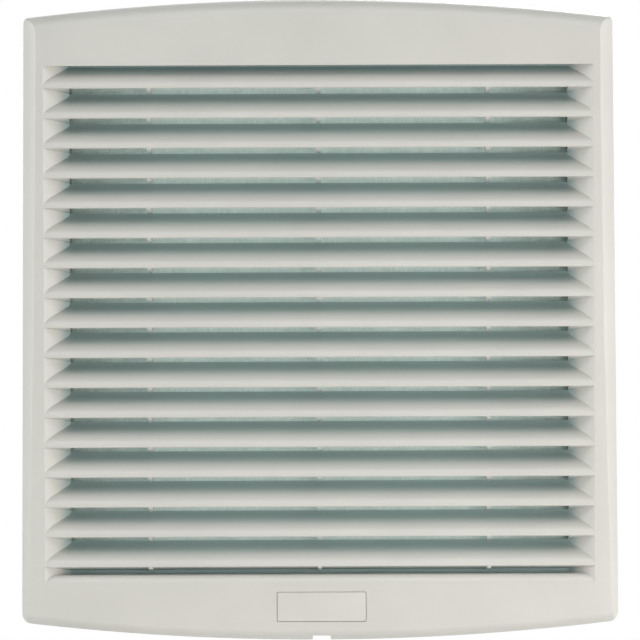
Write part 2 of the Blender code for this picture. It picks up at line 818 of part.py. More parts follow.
def make_base_frame():
    """The frame with its flange, filter rim, collar, hinge arms and clip seats."""
    frame = plate("base_frame", FLANGE_WIDTH / 2, FLANGE_HEIGHT / 2, FLANGE_FRONT, FLANGE_REAR, FLANGE_CORNER)
    collar = plate("collar_outside", COLLAR_HALF, COLLAR_HALF, FLANGE_FRONT + 0.001, COLLAR_REAR, 0.003)
    rim_half = RIM_INNER + RIM_WALL
    join(frame, collar)
    join(frame, plate("rim_outside", rim_half, rim_half, RIM_FRONT, FLANGE_FRONT + 0.001))
    cut(frame, plate("rim_inside", RIM_INNER, RIM_INNER, RIM_FRONT - 0.001, 0.0))
    cut(frame, plate("ledge_inside", LEDGE_INNER, LEDGE_INNER, -0.001, LEDGE_THICK + 0.001))
    cut(frame, plate("collar_inside", COLLAR_INNER, COLLAR_INNER, LEDGE_THICK, COLLAR_REAR + 0.001))
    posts = []
    holes = []
    for _, side, up in corner_places():
        x = side * POST_CENTRE
        z = up * POST_CENTRE
        half = CORNER_POST / 2
        posts.append(((x - half, LEDGE_THICK - 0.001, z - half), (x + half, COLLAR_REAR, z + half)))
        holes.append(((x, COLLAR_REAR + 0.001, z), (x, COLLAR_REAR - COWL_SCREW_LONG, z)))
    join(frame, blocks("corner_posts", posts))
    join(frame, clip_bosses(), hinge_arms(), snap_tongue())
    cut(frame, clip_windows(), clip_bores())
    cut(frame, rods("post_holes", holes, COWL_SCREW_RADIUS + BORE_PLAY))
    cut(frame, hinge_bores("arm_bores"))


def make_filter_grid():
    """The open grid that holds the mat from behind."""
    half = RIM_INNER - GAP
    rear = -GAP
    front = rear - GRID_THICK
    grid = plate("filter_grid", half, half, front, rear)
    border = half - 0.004
    cell = 2 * border / GRID_CELLS
    holes = []
    for column in range(GRID_CELLS):
        for row in range(GRID_CELLS):
            low_x = -border + column * cell + GRID_BAR / 2
            low_z = -border + row * cell + GRID_BAR / 2
            low = (low_x, front - 0.001, low_z)
            high = (low_x + cell - GRID_BAR, rear + 0.001, low_z + cell - GRID_BAR)
            holes.append((low, high))
    cut(grid, blocks("grid_holes", holes))


def make_filter_mat():
    """The fibre mat between the grid and the louvre."""
    half = RIM_INNER - MAT_PLAY
    rear = -2 * GAP - GRID_THICK
    plate("filter_mat", half, half, rear - MAT_THICK, rear)


def make_panel_gasket():
    """The foam strip that seals the flange to the cabinet wall."""
    inner = CUTOUT / 2 + 0.0005
    outer = inner + GASKET_WIDTH
    gasket = plate("panel_gasket", outer, outer, -GASKET_THICK, 0.0, 0.004)
    cut(gasket, plate("gasket_inside", inner, inner, -GASKET_THICK - 0.001, 0.001))


def make_panel_clips():
    """The sprung claws that hold the frame behind the edge of the cut-out."""
    for number, side, height in clip_places():
        x = side * CLIP_PIN_X
        half = CLIP_THICK / 2
        nose_x = side * (COLLAR_HALF + CLIP_NOSE_OUT)
        inner_x = side * (COLLAR_HALF - CLIP_THICK / 2)
        low, high = height - CLIP_WIDTH / 2, height + CLIP_WIDTH / 2
        outline = [
            (x - side * half, CLIP_PIN_Y - half),
            (x - side * half, CLIP_PIN_Y + half * 0.6),
            (x - side * half * 0.6, CLIP_PIN_Y + half),
            (x + side * half * 0.6, CLIP_PIN_Y + half),
            (x + side * half, CLIP_PIN_Y + half * 0.6),
            (nose_x, CLIP_NOSE_Y + 0.0022),
            (nose_x, CLIP_NOSE_Y),
            (inner_x, CLIP_NOSE_Y),
        ]
        rings = [[(px, py, z) for px, py in outline] for z in (low, high)]
        clip = lofts("panel_clip_%d" % number, [rings])
        pin_low, pin_high = clip_pin_ends(height, CLIP_WIDTH + 0.002)
        bore = rod(
            "clip_hole_%d" % number,
            (x, CLIP_PIN_Y, pin_low),
            (x, CLIP_PIN_Y, pin_high),
            CLIP_PIN_RADIUS + BORE_PLAY,
        )
        cut(clip, bore)
        set_origin(clip, (x, CLIP_PIN_Y, height))
        low, high = clip_pin_ends(height, CLIP_WIDTH + 2 * CLIP_PLAY + 2 * CLIP_BOSS - 0.001)
        rod("panel_clip_pin_%d" % number, (x, CLIP_PIN_Y, low), (x, CLIP_PIN_Y, high), CLIP_PIN_RADIUS)


# Cowl


def add_frustum(bm, front_half, rear_half, front, rear):
    """Add a square funnel body from a four-sided cone."""
    corner = math.sqrt(2)
    place = Matrix.Translation((0.0, (front + rear) / 2, 0.0))
    place = place @ Matrix.Rotation(-math.pi / 2, 4, "X") @ Matrix.Rotation(math.pi / 4, 4, "Z")
    bmesh.ops.create_cone(
        bm,
        cap_ends=True,
        segments=4,
        radius1=front_half * corner,
        radius2=rear_half * corner,
        depth=rear - front,
        matrix=place,
    )


def frustum(name, front_half, rear_half, front, rear):
    bm = bmesh.new()
    add_frustum(bm, front_half, rear_half, front, rear)
    return object_from(bm, name)


def make_cowl():
    """The funnel that carries the fan behind the collar."""
    shelf = COWL_FRONT + COWL_PLATE
    cowl = plate("fan_cowl", COLLAR_HALF, COLLAR_HALF, COWL_FRONT, shelf, 0.003)
    join(cowl, frustum("cowl_outside", COWL_SHOULDER, COWL_NECK, shelf - 0.0005, COWL_REAR))
    inner_front = COWL_SHOULDER - COWL_PLATE
    inner_rear = COWL_NECK - COWL_PLATE
    cut(cowl, frustum("cowl_inside", inner_front, inner_rear, COWL_FRONT - 0.001, COWL_REAR - COWL_PLATE))
    cut(cowl, rod("cowl_mouth", (0, COWL_REAR - 0.01, 0), (0, COWL_REAR + 0.001, 0), FAN_BORE + 0.0005, FINE))
    screws = []
    bolts = []
    for _, side, up in corner_places():
        x = side * POST_CENTRE
        z = up * POST_CENTRE
        screws.append(((x, COWL_FRONT - 0.001, z), (x, shelf + 0.001, z)))
        x = side * BOLT_SIDE
        z = up * BOLT_SIDE
        bolts.append(((x, COWL_REAR - 0.004, z), (x, COWL_REAR + 0.001, z)))
    cut(cowl, rods("cowl_screw_holes", screws, COWL_SCREW_RADIUS + BORE_PLAY))
    cut(cowl, rods("cowl_bolt_holes", bolts, BOLT_RADIUS + BORE_PLAY))


def headed_screw(name, under_head, end, radius, head_radius, head_thick):
    """A screw along Y whose head is on the side away from its end."""
    x, y, z = under_head
    way = 1 if end > y else -1
    shank = rod(name, (x, y - way * 0.0002, z), (x, end, z), radius)
    head = rod(name + "_head", (x, y - way * head_thick, z), (x, y, z), head_radius, SMALL)
    join(shank, head)
    return shank


def make_cowl_screws():
    """The screws from the cowl into the collar's corner posts."""
    under_head = COWL_FRONT + COWL_PLATE + GAP
    end = COLLAR_REAR - COWL_SCREW_LONG + 0.0015
    for number, side, up in corner_places():
        place = (side * POST_CENTRE, under_head, up * POST_CENTRE)
        headed_screw("cowl_screw_%d" % number, place, end, COWL_SCREW_RADIUS, 0.0031, 0.0020)


# Axial fan


def fan_flange(name, front, rear):
    """A flange disc with two flats."""
    disc = rod(name, (0, front, 0), (0, rear, 0), FAN_DIAMETER / 2, FINE)
    low = (-FAN_FLATS / 2, front - 0.001, -FAN_DIAMETER / 2 - 0.001)
    high = (FAN_FLATS / 2, rear + 0.001, FAN_DIAMETER / 2 + 0.001)
    flats = block(name + "_flats", low, high)
    boolean(disc, flats, "INTERSECT")
    return disc


def make_fan_housing():
    """The die-cast housing with its two flanges, four spokes, motor seat and bearing tube."""
    housing = fan_flange("fan_housing", FAN_FRONT, FAN_FRONT + FAN_FLANGE)
    tube = rod("fan_tube", (0, FAN_FRONT + 0.001, 0), (0, FAN_REAR - 0.001, 0), FAN_BORE + TUBE_WALL, FINE)
    join(housing, tube, fan_flange("rear_flange", FAN_REAR - FAN_FLANGE, FAN_REAR))
    cut(housing, rod("fan_bore", (0, FAN_FRONT - 0.001, 0), (0, FAN_REAR + 0.001, 0), FAN_BORE, FINE))
    seat = rod("motor_seat", (0, SEAT_FRONT, 0), (0, FAN_REAR, 0), SEAT_RADIUS, ROUND)
    spokes = []
    half = SPOKE_WIDTH / 2
    for i in range(SPOKES // 2):
        reach = FAN_BORE + TUBE_WALL / 2
        low = (-reach, SEAT_FRONT + 0.0005, -half) if i == 0 else (-half, SEAT_FRONT + 0.0005, -reach)
        high = (reach, FAN_REAR - 0.0005, half) if i == 0 else (half, FAN_REAR - 0.0005, reach)
        spokes.append(block("spoke_%d" % i, low, high))
    tube_start = (0, TUBE_FRONT, 0)
    bearing_tube = rod("bearing_tube", tube_start, (0, FAN_REAR - 0.001, 0), BEARING_TUBE_RADIUS, ROUND)
    join(seat, bearing_tube, *spokes)
    bore = BEARING_RADIUS + BORE_PLAY
    cut(seat, rod("bearing_bore", (0, TUBE_FRONT - 0.001, 0), (0, FAN_REAR + 0.001, 0), bore, ROUND))
    join(housing, seat)
    bolts = []
    for _, side, up in corner_places():
        start = (side * BOLT_SIDE, FAN_FRONT - 0.001, up * BOLT_SIDE)
        end = (side * BOLT_SIDE, FAN_REAR + 0.001, up * BOLT_SIDE)
        bolts.append((start, end))
    cut(housing, rods("housing_bolt_holes", bolts, BOLT_RADIUS + BORE_PLAY))
    cut(housing, rod("lead_hole", lead_hole_end(-0.02), lead_hole_end(0.01), GROMMET_RADIUS - 0.0015))
    cut(housing, rod("earth_hole", earth_point(-0.006), earth_point(0.002), EARTH_SCREW_RADIUS + BORE_PLAY))


def lead_hole_end(out):
    """A point on the line along which the motor leads leave the tube."""
    return (BLOCK_X, FAN_FRONT + FAN_DEPTH * 0.62, -(math.sqrt(FAN_BORE**2 - BLOCK_X**2) + out))


def earth_point(along):
    """A point on the earth screw's line, along Y from the front flange's rear face."""
    return (EARTH_X, FAN_FRONT + FAN_FLANGE + along, -FAN_BORE - EARTH_OUT)


def make_motor():
    """The parts of the motor, from the bearings outwards."""
    rear_bearing = FAN_REAR - 0.003
    front_bearing = TUBE_FRONT + BEARING_WIDE + 0.0005
    inner = SHAFT_RADIUS + BORE_PLAY
    ring("bearing_rear", inner, BEARING_RADIUS, rear_bearing - BEARING_WIDE, rear_bearing)
    ring("bearing_front", inner, BEARING_RADIUS, front_bearing - BEARING_WIDE, front_bearing)
    core_inner = BEARING_TUBE_RADIUS + GAP
    middle = (CUP_FRONT + CUP_WALL + CUP_REAR) / 2 + 0.001
    core_front = middle - STATOR_LONG / 2
    core_rear = middle + STATOR_LONG / 2
    ring("stator_core", core_inner, STATOR_RADIUS, core_front, core_rear)
    coil = (core_inner + STATOR_RADIUS) / 2
    for label, y in (
        ("front", core_front - GAP - WINDING_RADIUS),
        ("rear", core_rear + GAP + WINDING_RADIUS),
    ):
        profile = []
        for i in range(8):
            angle = -2 * math.pi * (i + 0.5) / 8
            stretch = 1.6 * math.cos(angle)
            profile.append((coil + WINDING_RADIUS * stretch, y + WINDING_RADIUS * math.sin(angle)))
        turned("winding_" + label, profile)
    shaft_rear = FAN_REAR - 0.0006
    groove_front = rear_bearing + 0.0002
    groove_rear = groove_front + CIRCLIP_THICK + 2 * GAP
    neck = SHAFT_RADIUS - 0.0006
    shaft = [
        (0.0, shaft_rear),
        (SHAFT_RADIUS, shaft_rear),
        (SHAFT_RADIUS, groove_rear),
        (neck, groove_rear),
        (neck, groove_front),
        (SHAFT_RADIUS, groove_front),
        (SHAFT_RADIUS, CUP_FRONT + 0.0005),
        (0.0, CUP_FRONT + 0.0005),
    ]
    turned("motor_shaft", shaft, closed=False)
    clip_front = groove_front + GAP
    ring("shaft_circlip", neck + BORE_PLAY, CIRCLIP_RADIUS, clip_front, clip_front + CIRCLIP_THICK)
    bore = SHAFT_RADIUS + BORE_PLAY
    inner_cup = CUP_RADIUS - CUP_WALL
    hub_rear = CUP_FRONT + CUP_WALL + 0.0008
    cup = [
        (CUP_RADIUS, CUP_REAR),
        (CUP_RADIUS, CUP_FRONT),
        (bore, CUP_FRONT),
        (bore, hub_rear),
        (CUP_HUB, hub_rear),
        (CUP_HUB, CUP_FRONT + CUP_WALL),
        (inner_cup, CUP_FRONT + CUP_WALL),
        (inner_cup, CUP_REAR),
    ]
    turned("rotor_cup", cup, FINE)


def impeller_blade_points(bm, start_angle):
    """One twisted blade as an open sheet, from inside the hub wall to the tip."""
    columns = 5
    rows = 4
    inner = HUB_RADIUS - HUB_WALL / 2
    outer = FAN_BORE - TIP_CLEARANCE
    middle = (CUP_FRONT + CUP_REAR) / 2 + 0.001
    grid = []
    for i in range(columns):
        share = i / (columns - 1)
        radius = inner + (outer - inner) * share
        sweep = IMPELLER_SWEEP_HUB + (IMPELLER_SWEEP_TIP - IMPELLER_SWEEP_HUB) * share
        line = []
        for j in range(rows):
            along = j / (rows - 1) - 0.5
            angle = start_angle + sweep * along + 0.20 * share
            camber = 0.0015 * (1 - 4 * along**2)
            y = middle + IMPELLER_CHORD * along + camber
            line.append(bm.verts.new((radius * math.cos(angle), y, radius * math.sin(angle))))
        grid.append(line)
    for first, second in zip(grid, grid[1:]):
        for j in range(rows - 1):
            bm.faces.new((first[j], first[j + 1], second[j + 1], second[j]))


def make_impeller():
    """The bladed ring around the rotor cup."""
    inner = CUP_RADIUS + GAP
    front = CUP_FRONT - 0.0018
    hub = [
        (HUB_RADIUS, CUP_REAR),
        (HUB_RADIUS, front),
        (SHAFT_RADIUS * 2, front),
        (SHAFT_RADIUS * 2, CUP_FRONT - GAP),
        (inner, CUP_FRONT - GAP),
        (inner, CUP_REAR),
    ]
    impeller = turned("impeller", hub, FINE)
    bm = bmesh.new()
    for i in range(IMPELLER_BLADES):
        impeller_blade_points(bm, 2 * math.pi * i / IMPELLER_BLADES)
    blades = object_from(bm, "impeller_blades")
    shell = blades.modifiers.new("thickness", "SOLIDIFY")
    shell.thickness = IMPELLER_BLADE_THICK
    shell.offset = 0.0
    join(impeller, blades)


def make_fan_bolts():
    """The through bolts that hold the cowl, the fan and the guard together, with their nuts."""
    under_head = COWL_REAR - COWL_PLATE - GAP
    nut_front = EYE_FRONT + EYE_THICK + GAP
    end = nut_front + NUT_THICK + 0.0008
    for number, side, up in corner_places():
        x = side * BOLT_SIDE
        z = up * BOLT_SIDE
        headed_screw("fan_bolt_%d" % number, (x, under_head, z), end, BOLT_RADIUS, HEAD_RADIUS, HEAD_THICK)
        nut = rod("fan_nut_%d" % number, (x, nut_front, z), (x, nut_front + NUT_THICK, z), NUT_RADIUS, 6)
        hole = rod(
            "nut_hole_%d" % number,
            (x, nut_front - 0.001, z),
            (x, nut_front + NUT_THICK + 0.001, z),
            BOLT_RADIUS + BORE_PLAY,
        )
        cut(nut, hole)


def guard_ring_radius(i):
    return GUARD_FIRST + (GUARD_LAST - GUARD_FIRST) * i / (GUARD_RINGS - 1)


def make_finger_guard():
    """The wire guard: rings on four arms that end in eyes for the bolts."""
    arms = []
    eyes = []
    holes = []
    for _, side, up in corner_places():
        way = Vector((side, 0.0, up)) * math.sqrt(0.5)
        start = way * (GUARD_FIRST - 0.0015) + Vector((0, ARM_Y, 0))
        end = way * (BOLT_CIRCLE / 2 - NUT_RADIUS - 2 * GAP) + Vector((0, ARM_Y, 0))
        arms.append((start, end))
        x = side * BOLT_SIDE
        z = up * BOLT_SIDE
        eyes.append(((x, EYE_FRONT, z), (x, EYE_FRONT + EYE_THICK, z)))
        holes.append(((x, EYE_FRONT - 0.001, z), (x, EYE_FRONT + EYE_THICK + 0.001, z)))
    guard = rods("finger_guard", arms, ARM_WIRE, 8)
    join(guard, rods("guard_eyes", eyes, EYE_RADIUS, ROUND))
    for i in range(GUARD_RINGS):
        profile = []
        for j in range(5):
            angle = -2 * math.pi * (j + 0.25) / 5
            radius = guard_ring_radius(i) + RING_WIRE * math.cos(angle)
            profile.append((radius, RING_Y + RING_WIRE * math.sin(angle)))
        join(guard, turned("guard_ring_%d" % i, profile, GUARD_STEPS - 8 if i < 2 else GUARD_STEPS))
    cut(guard, rods("eye_holes", holes, BOLT_RADIUS + BORE_PLAY))


# Connection block


def block_box():
    """The corners of the terminal block on the lower shelf of the cowl."""
    shelf = COWL_FRONT + COWL_PLATE + GAP
    bottom = -COLLAR_HALF + 0.0008
    low = (BLOCK_X - BLOCK_LONG / 2, shelf, bottom)
    high = (BLOCK_X + BLOCK_LONG / 2, shelf + BLOCK_DEEP, bottom + BLOCK_HIGH)
    return low, high


def pole_x(pole):
    return BLOCK_X + (pole - (BLOCK_POLES - 1) / 2) * BLOCK_LONG / BLOCK_POLES


def make_terminals():
    """The terminal block with its clamp screws and its lid."""
    low, high = block_box()
    body = block("terminal_block", low, high)
    screw_y = low[1] + BLOCK_DEEP * 0.45
    entries = []
    wells = []
    top = high[2]
    middle = (low[2] + high[2]) / 2
    for pole in range(BLOCK_POLES):
        x = pole_x(pole)
        wells.append(((x, screw_y, top - 0.004), (x, screw_y, top + 0.001)))
        entries.append(((x, high[1] - 0.004, middle), (x, high[1] + 0.001, middle)))
        head_top = top - 0.0006
        rod("terminal_screw_%d" % (pole + 1), (x, screw_y, top - 0.004 + GAP), (x, screw_y, head_top), 0.0021)
    cut(body, rods("terminal_wells", wells, 0.0021 + BORE_PLAY))
    cut(body, rods("terminal_entries", entries, LEAD_RADIUS + BORE_PLAY))


def make_leads():
    """The grommet, the leads between the motor and the block, and the earth connection."""
    _, high = block_box()
    middle = high[2] - BLOCK_HIGH / 2
    entry_y = high[1] - 0.003
    x, y, z = lead_hole_end(0.0)
    lowest = -(FAN_BORE + TUBE_WALL)
    sleeve = GROMMET_RADIUS - 0.0018
    inside = -math.sqrt((FAN_BORE - TIP_CLEARANCE / 2) ** 2 - (abs(x) - sleeve) ** 2)
    grommet = rod("lead_grommet", (x, y, lowest - 0.0030), (x, y, inside), sleeve, ROUND)
    collar = rod("grommet_collar", (x, y, lowest - 0.0030), (x, y, lowest - GAP), GROMMET_RADIUS, ROUND)
    join(grommet, collar)
    bores = []
    for pole, label in ((1, "live"), (2, "neutral")):
        shift = LEAD_SPACING * (pole - 1.5)
        start = Vector((x + shift, y, lowest + 0.0035))
        bores.append(((start.x, y, lowest - 0.01), (start.x, y, inside + 0.01)))
        end_x = pole_x(pole)
        route = [
            start,
            (start.x, y, lowest),
            (start.x, y, lowest - 0.0035),
            (start.x, y, lowest - 0.0070),
            (start.x * 0.6 + end_x * 0.4, y - 0.0035, lowest - 0.0185),
            (end_x, (y + entry_y) / 2 + 0.002, middle + 0.0012),
            (end_x, high[1] + 0.004, middle),
            (end_x, high[1] + 0.0005, middle),
            (end_x, entry_y, middle),
        ]
        wire("lead_" + label, route, LEAD_RADIUS)
    cut(grommet, rods("grommet_bores", bores, LEAD_RADIUS + BORE_PLAY))
    seat = Vector(earth_point(GAP))
    tag = block(
        "earth_tag",
        (seat.x - 0.0038, seat.y, seat.z - 0.0080),
        (seat.x + 0.0038, seat.y + TAG_THICK, seat.z + 0.0038),
    )
    hole_radius = EARTH_SCREW_RADIUS + BORE_PLAY
    cut(tag, rod("tag_hole", seat - Vector((0, 0.001, 0)), seat + Vector((0, 0.003, 0)), hole_radius))
    head = (seat.x, seat.y + TAG_THICK + GAP, seat.z)
    headed_screw("earth_screw", head, seat.y - FAN_FLANGE + 0.0006, EARTH_SCREW_RADIUS, 0.0028, 0.0018)
    end_x = pole_x(0)
    tag_end = Vector((seat.x, seat.y + TAG_THICK + GAP + LEAD_RADIUS, seat.z - 0.0055))
    route = [
        tag_end,
        tag_end + Vector((0.0005, 0.0008, -0.0060)),
        (seat.x + 0.012, seat.y + 0.010, middle + 0.0035),
        (end_x - 0.006, high[1] + 0.0085, middle + 0.0005),
        (end_x, high[1] + 0.004, middle),
        (end_x, high[1] + 0.0005, middle),
        (end_x, entry_y, middle),
    ]
    wire("lead_earth", route, LEAD_RADIUS)


# Colours, as linear red, green and blue, with roughness and metallic values

PAINTS = [
    ("front_cover", (0.60, 0.59, 0.55), 0.45, 0.0),
    ("badge_plate", (0.62, 0.61, 0.57), 0.40, 0.0),
    ("filter_mat", (0.35, 0.40, 0.39), 0.95, 0.0),
    ("base_frame", (0.56, 0.55, 0.51), 0.50, 0.0),
    ("filter_grid", (0.56, 0.55, 0.51), 0.50, 0.0),
    ("panel_gasket", (0.03, 0.03, 0.03), 0.90, 0.0),
    ("panel_clip_pin", (0.60, 0.60, 0.60), 0.30, 1.0),
    ("panel_clip", (0.10, 0.10, 0.11), 0.50, 0.0),
    ("cover_hinge_pin", (0.60, 0.60, 0.60), 0.30, 1.0),
    ("fan_cowl", (0.56, 0.55, 0.51), 0.50, 0.0),
    ("fan_housing", (0.03, 0.03, 0.03), 0.50, 0.0),
    ("stator_core", (0.40, 0.40, 0.42), 0.50, 1.0),
    ("winding", (0.50, 0.20, 0.08), 0.40, 1.0),
    ("rotor_cup", (0.06, 0.06, 0.06), 0.50, 0.0),
    ("impeller", (0.02, 0.02, 0.02), 0.50, 0.0),
    ("terminal_block", (0.70, 0.70, 0.66), 0.50, 0.0),
    ("lead_grommet", (0.02, 0.02, 0.02), 0.80, 0.0),
    ("lead_live", (0.12, 0.05, 0.02), 0.50, 0.0),
    ("lead_neutral", (0.02, 0.08, 0.40), 0.50, 0.0),
    ("lead_earth", (0.20, 0.45, 0.03), 0.50, 0.0),
]
STEEL = ((0.55, 0.55, 0.55), 0.35, 1.0)


def paint(piece):
    """Give a piece its own Principled material."""
    look = STEEL
    for start, colour, roughness, metallic in PAINTS:
        if piece.name.startswith(start):
            look = (colour, roughness, metallic)
            break
    finish = bpy.data.materials.new(piece.name)
    finish.use_nodes = True
    shader = finish.node_tree.nodes["Principled BSDF"]
    shader.inputs["Base Color"].default_value = (*look[0], 1.0)
    shader.inputs["Roughness"].default_value = look[1]
    shader.inputs["Metallic"].default_value = look[2]
    piece.data.materials.append(finish)


make_cover()
make_badge_plate()
make_hinge_pins()
make_base_frame()
make_filter_grid()
make_filter_mat()
make_panel_gasket()
make_panel_clips()
make_cowl()
make_cowl_screws()
make_fan_housing()
make_motor()
make_impeller()
make_fan_bolts()
make_finger_guard()
make_terminals()
make_leads()
for item in PIECES.objects:
    paint(item)
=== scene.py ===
# %% [markdown]
# # A cabinet filter fan in Blender
#
# A filter fan sits in a square hole in the door of a control cabinet. From the front only its
# moulded louvre cover is seen. Behind it are a fibre mat, a frame with spring clips, a funnel
# and a round metal fan with a wire guard. The measured model gives the place and size of every
# piece, so each shape made here goes straight to its place and nothing has to be fitted by eye.

# %% Load the measured model
import json
import math

import bpy
from mathutils import Matrix, Vector

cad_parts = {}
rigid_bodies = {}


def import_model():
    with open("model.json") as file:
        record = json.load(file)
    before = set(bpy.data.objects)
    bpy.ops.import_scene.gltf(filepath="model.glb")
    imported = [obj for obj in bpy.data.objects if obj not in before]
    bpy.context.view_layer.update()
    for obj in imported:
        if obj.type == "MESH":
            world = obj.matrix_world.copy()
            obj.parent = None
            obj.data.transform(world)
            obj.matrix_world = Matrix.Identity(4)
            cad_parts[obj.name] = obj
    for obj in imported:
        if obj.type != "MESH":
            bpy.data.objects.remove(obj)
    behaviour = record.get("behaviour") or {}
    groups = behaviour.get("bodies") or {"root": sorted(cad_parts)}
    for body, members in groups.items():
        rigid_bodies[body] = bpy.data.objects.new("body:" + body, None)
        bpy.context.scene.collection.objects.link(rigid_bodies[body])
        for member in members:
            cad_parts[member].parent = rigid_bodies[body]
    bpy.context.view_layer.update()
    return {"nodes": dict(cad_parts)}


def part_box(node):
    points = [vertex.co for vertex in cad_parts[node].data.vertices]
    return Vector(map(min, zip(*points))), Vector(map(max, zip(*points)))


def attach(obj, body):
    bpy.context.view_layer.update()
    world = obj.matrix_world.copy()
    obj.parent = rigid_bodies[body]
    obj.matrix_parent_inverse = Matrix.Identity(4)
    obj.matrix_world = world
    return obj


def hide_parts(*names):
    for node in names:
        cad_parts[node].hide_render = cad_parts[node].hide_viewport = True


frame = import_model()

# %% [markdown]
# ## The camera
#
# The photograph was taken from straight in front with a long lens, which keeps the upright
# edges nearly parallel. A camera 1.7 m away with a narrow angle gives the same flat look. A
# tiny roll is kept because the cover's sides lean by a fraction of a degree in the picture.

# %% Camera
CAMERA_FAR = 1.7
PICTURE_MM = 267.25  # how much of the object's front plane fits across the picture
FRONT_PLANE_Y = -0.0206
SENSOR_MM = 36.0

camera_data = bpy.data.cameras.new("front_camera")
camera_data.sensor_width = SENSOR_MM
camera_data.lens = SENSOR_MM * (CAMERA_FAR * 1000) / PICTURE_MM
camera_data.clip_end = 50.0
camera = bpy.data.objects.new("front_camera", camera_data)
bpy.context.scene.collection.objects.link(camera)
camera.location = (0.0004, FRONT_PLANE_Y - CAMERA_FAR, -0.0002)
camera.rotation_euler = (math.radians(90.0), math.radians(0.23), 0.0)
bpy.context.scene.camera = camera
print("lens in mm:", round(camera_data.lens, 1))

# %% [markdown]
# ## Light and background
#
# A pale object on white needs soft light, or its edges vanish. Five square lamps stand around
# it like softboxes, with levels set in tenths. Of the four in front, the two at the
# sides are the strongest, because they draw the bevels. The high one makes the blades fade into
# shade behind their fronts. The photograph is brightest and warmest at the lower right, so a small
# warm lamp stands there. The rear lamp serves the views from behind. A weak bluish world fills
# the shadows. Camera, glossy and transmission rays see plain white instead of that world, so
# the background is white without more light falling on the object.

# %% Colour helper, world and lamps
def colour(red, green, blue):
    """Turn a screen colour of 0 to 255 into the linear values that Blender works with."""
    values = []
    for part in (red, green, blue):
        share = part / 255
        values.append(share / 12.92 if share <= 0.04045 else ((share + 0.055) / 1.055) ** 2.4)
    return (*values, 1.0)


def white_for_camera(nodes, links, lit, output, white_shader):
    """Mix a plain white in for camera, glossy and transmission rays."""
    path = nodes.new("ShaderNodeLightPath")
    either = nodes.new("ShaderNodeMath")
    either.operation = "MAXIMUM"
    any_of_three = nodes.new("ShaderNodeMath")
    any_of_three.operation = "MAXIMUM"
    mix = nodes.new("ShaderNodeMixShader")
    links.new(path.outputs["Is Camera Ray"], either.inputs[0])
    links.new(path.outputs["Is Glossy Ray"], either.inputs[1])
    links.new(either.outputs[0], any_of_three.inputs[0])
    links.new(path.outputs["Is Transmission Ray"], any_of_three.inputs[1])
    links.new(any_of_three.outputs[0], mix.inputs["Fac"])
    links.new(lit, mix.inputs[1])
    links.new(white_shader, mix.inputs[2])
    links.new(mix.outputs[0], output)


world = bpy.data.worlds.new("soft_studio")
bpy.context.scene.world = world
world.use_nodes = True
ambient = world.node_tree.nodes["Background"]
ambient.inputs["Color"].default_value = (0.9, 0.97, 1.0, 1.0)
ambient.inputs["Strength"].default_value = 0.15
white = world.node_tree.nodes.new("ShaderNodeBackground")
white.inputs["Color"].default_value = (1.0, 1.0, 1.0, 1.0)
white.inputs["Strength"].default_value = 1.0
white_for_camera(
    world.node_tree.nodes,
    world.node_tree.links,
    ambient.outputs[0],
    world.node_tree.nodes["World Output"].inputs["Surface"],
    white.outputs[0],
)


def add_lamp(name, side, height, distance, size, level, tint):
    """A soft square lamp on a sphere around the object, as bright there as its level says."""
    turn = math.radians(side)
    lift = math.radians(height)
    way = Vector((math.sin(turn) * math.cos(lift), -math.cos(turn) * math.cos(lift), math.sin(lift)))
    data = bpy.data.lights.new(name, "AREA")
    data.shape = "SQUARE"
    data.size = size
    data.energy = level * math.pi**2 * distance**2
    data.color = tint
    lamp = bpy.data.objects.new(name, data)
    bpy.context.scene.collection.objects.link(lamp)
    lamp.location = way * distance
    lamp.rotation_euler = way.to_track_quat("Z", "Y").to_euler()
    return lamp


add_lamp("left_lamp", -70, 10, 1.4, 0.8, 0.5, (1.0, 1.0, 1.0))
add_lamp("right_lamp", 70, 10, 1.4, 0.8, 0.4, (1.0, 1.0, 1.0))
add_lamp("high_lamp", 0, 50, 1.8, 1.0, 0.2, (0.95, 1.0, 1.0))
add_lamp("low_warm_lamp", 35, -10, 0.9, 0.3, 0.3, (1.0, 0.95, 0.9))
add_lamp("rear_lamp", 160, 35, 1.6, 0.9, 0.4, (1.0, 1.0, 1.0))

# %% [markdown]
# ## The floor
#
# The fan would hang in a cabinet door, so nothing touches the floor. A pale sheet under it
# catches a soft shadow for the views from above. Like a light table, it also glows a little, so
# that the undersides of the cover and the fan don't go black.

# %% Floor
FLOOR_Z = -0.34
TABLE_GLOW = 0.1
FLOOR_RADIUS = 0.8


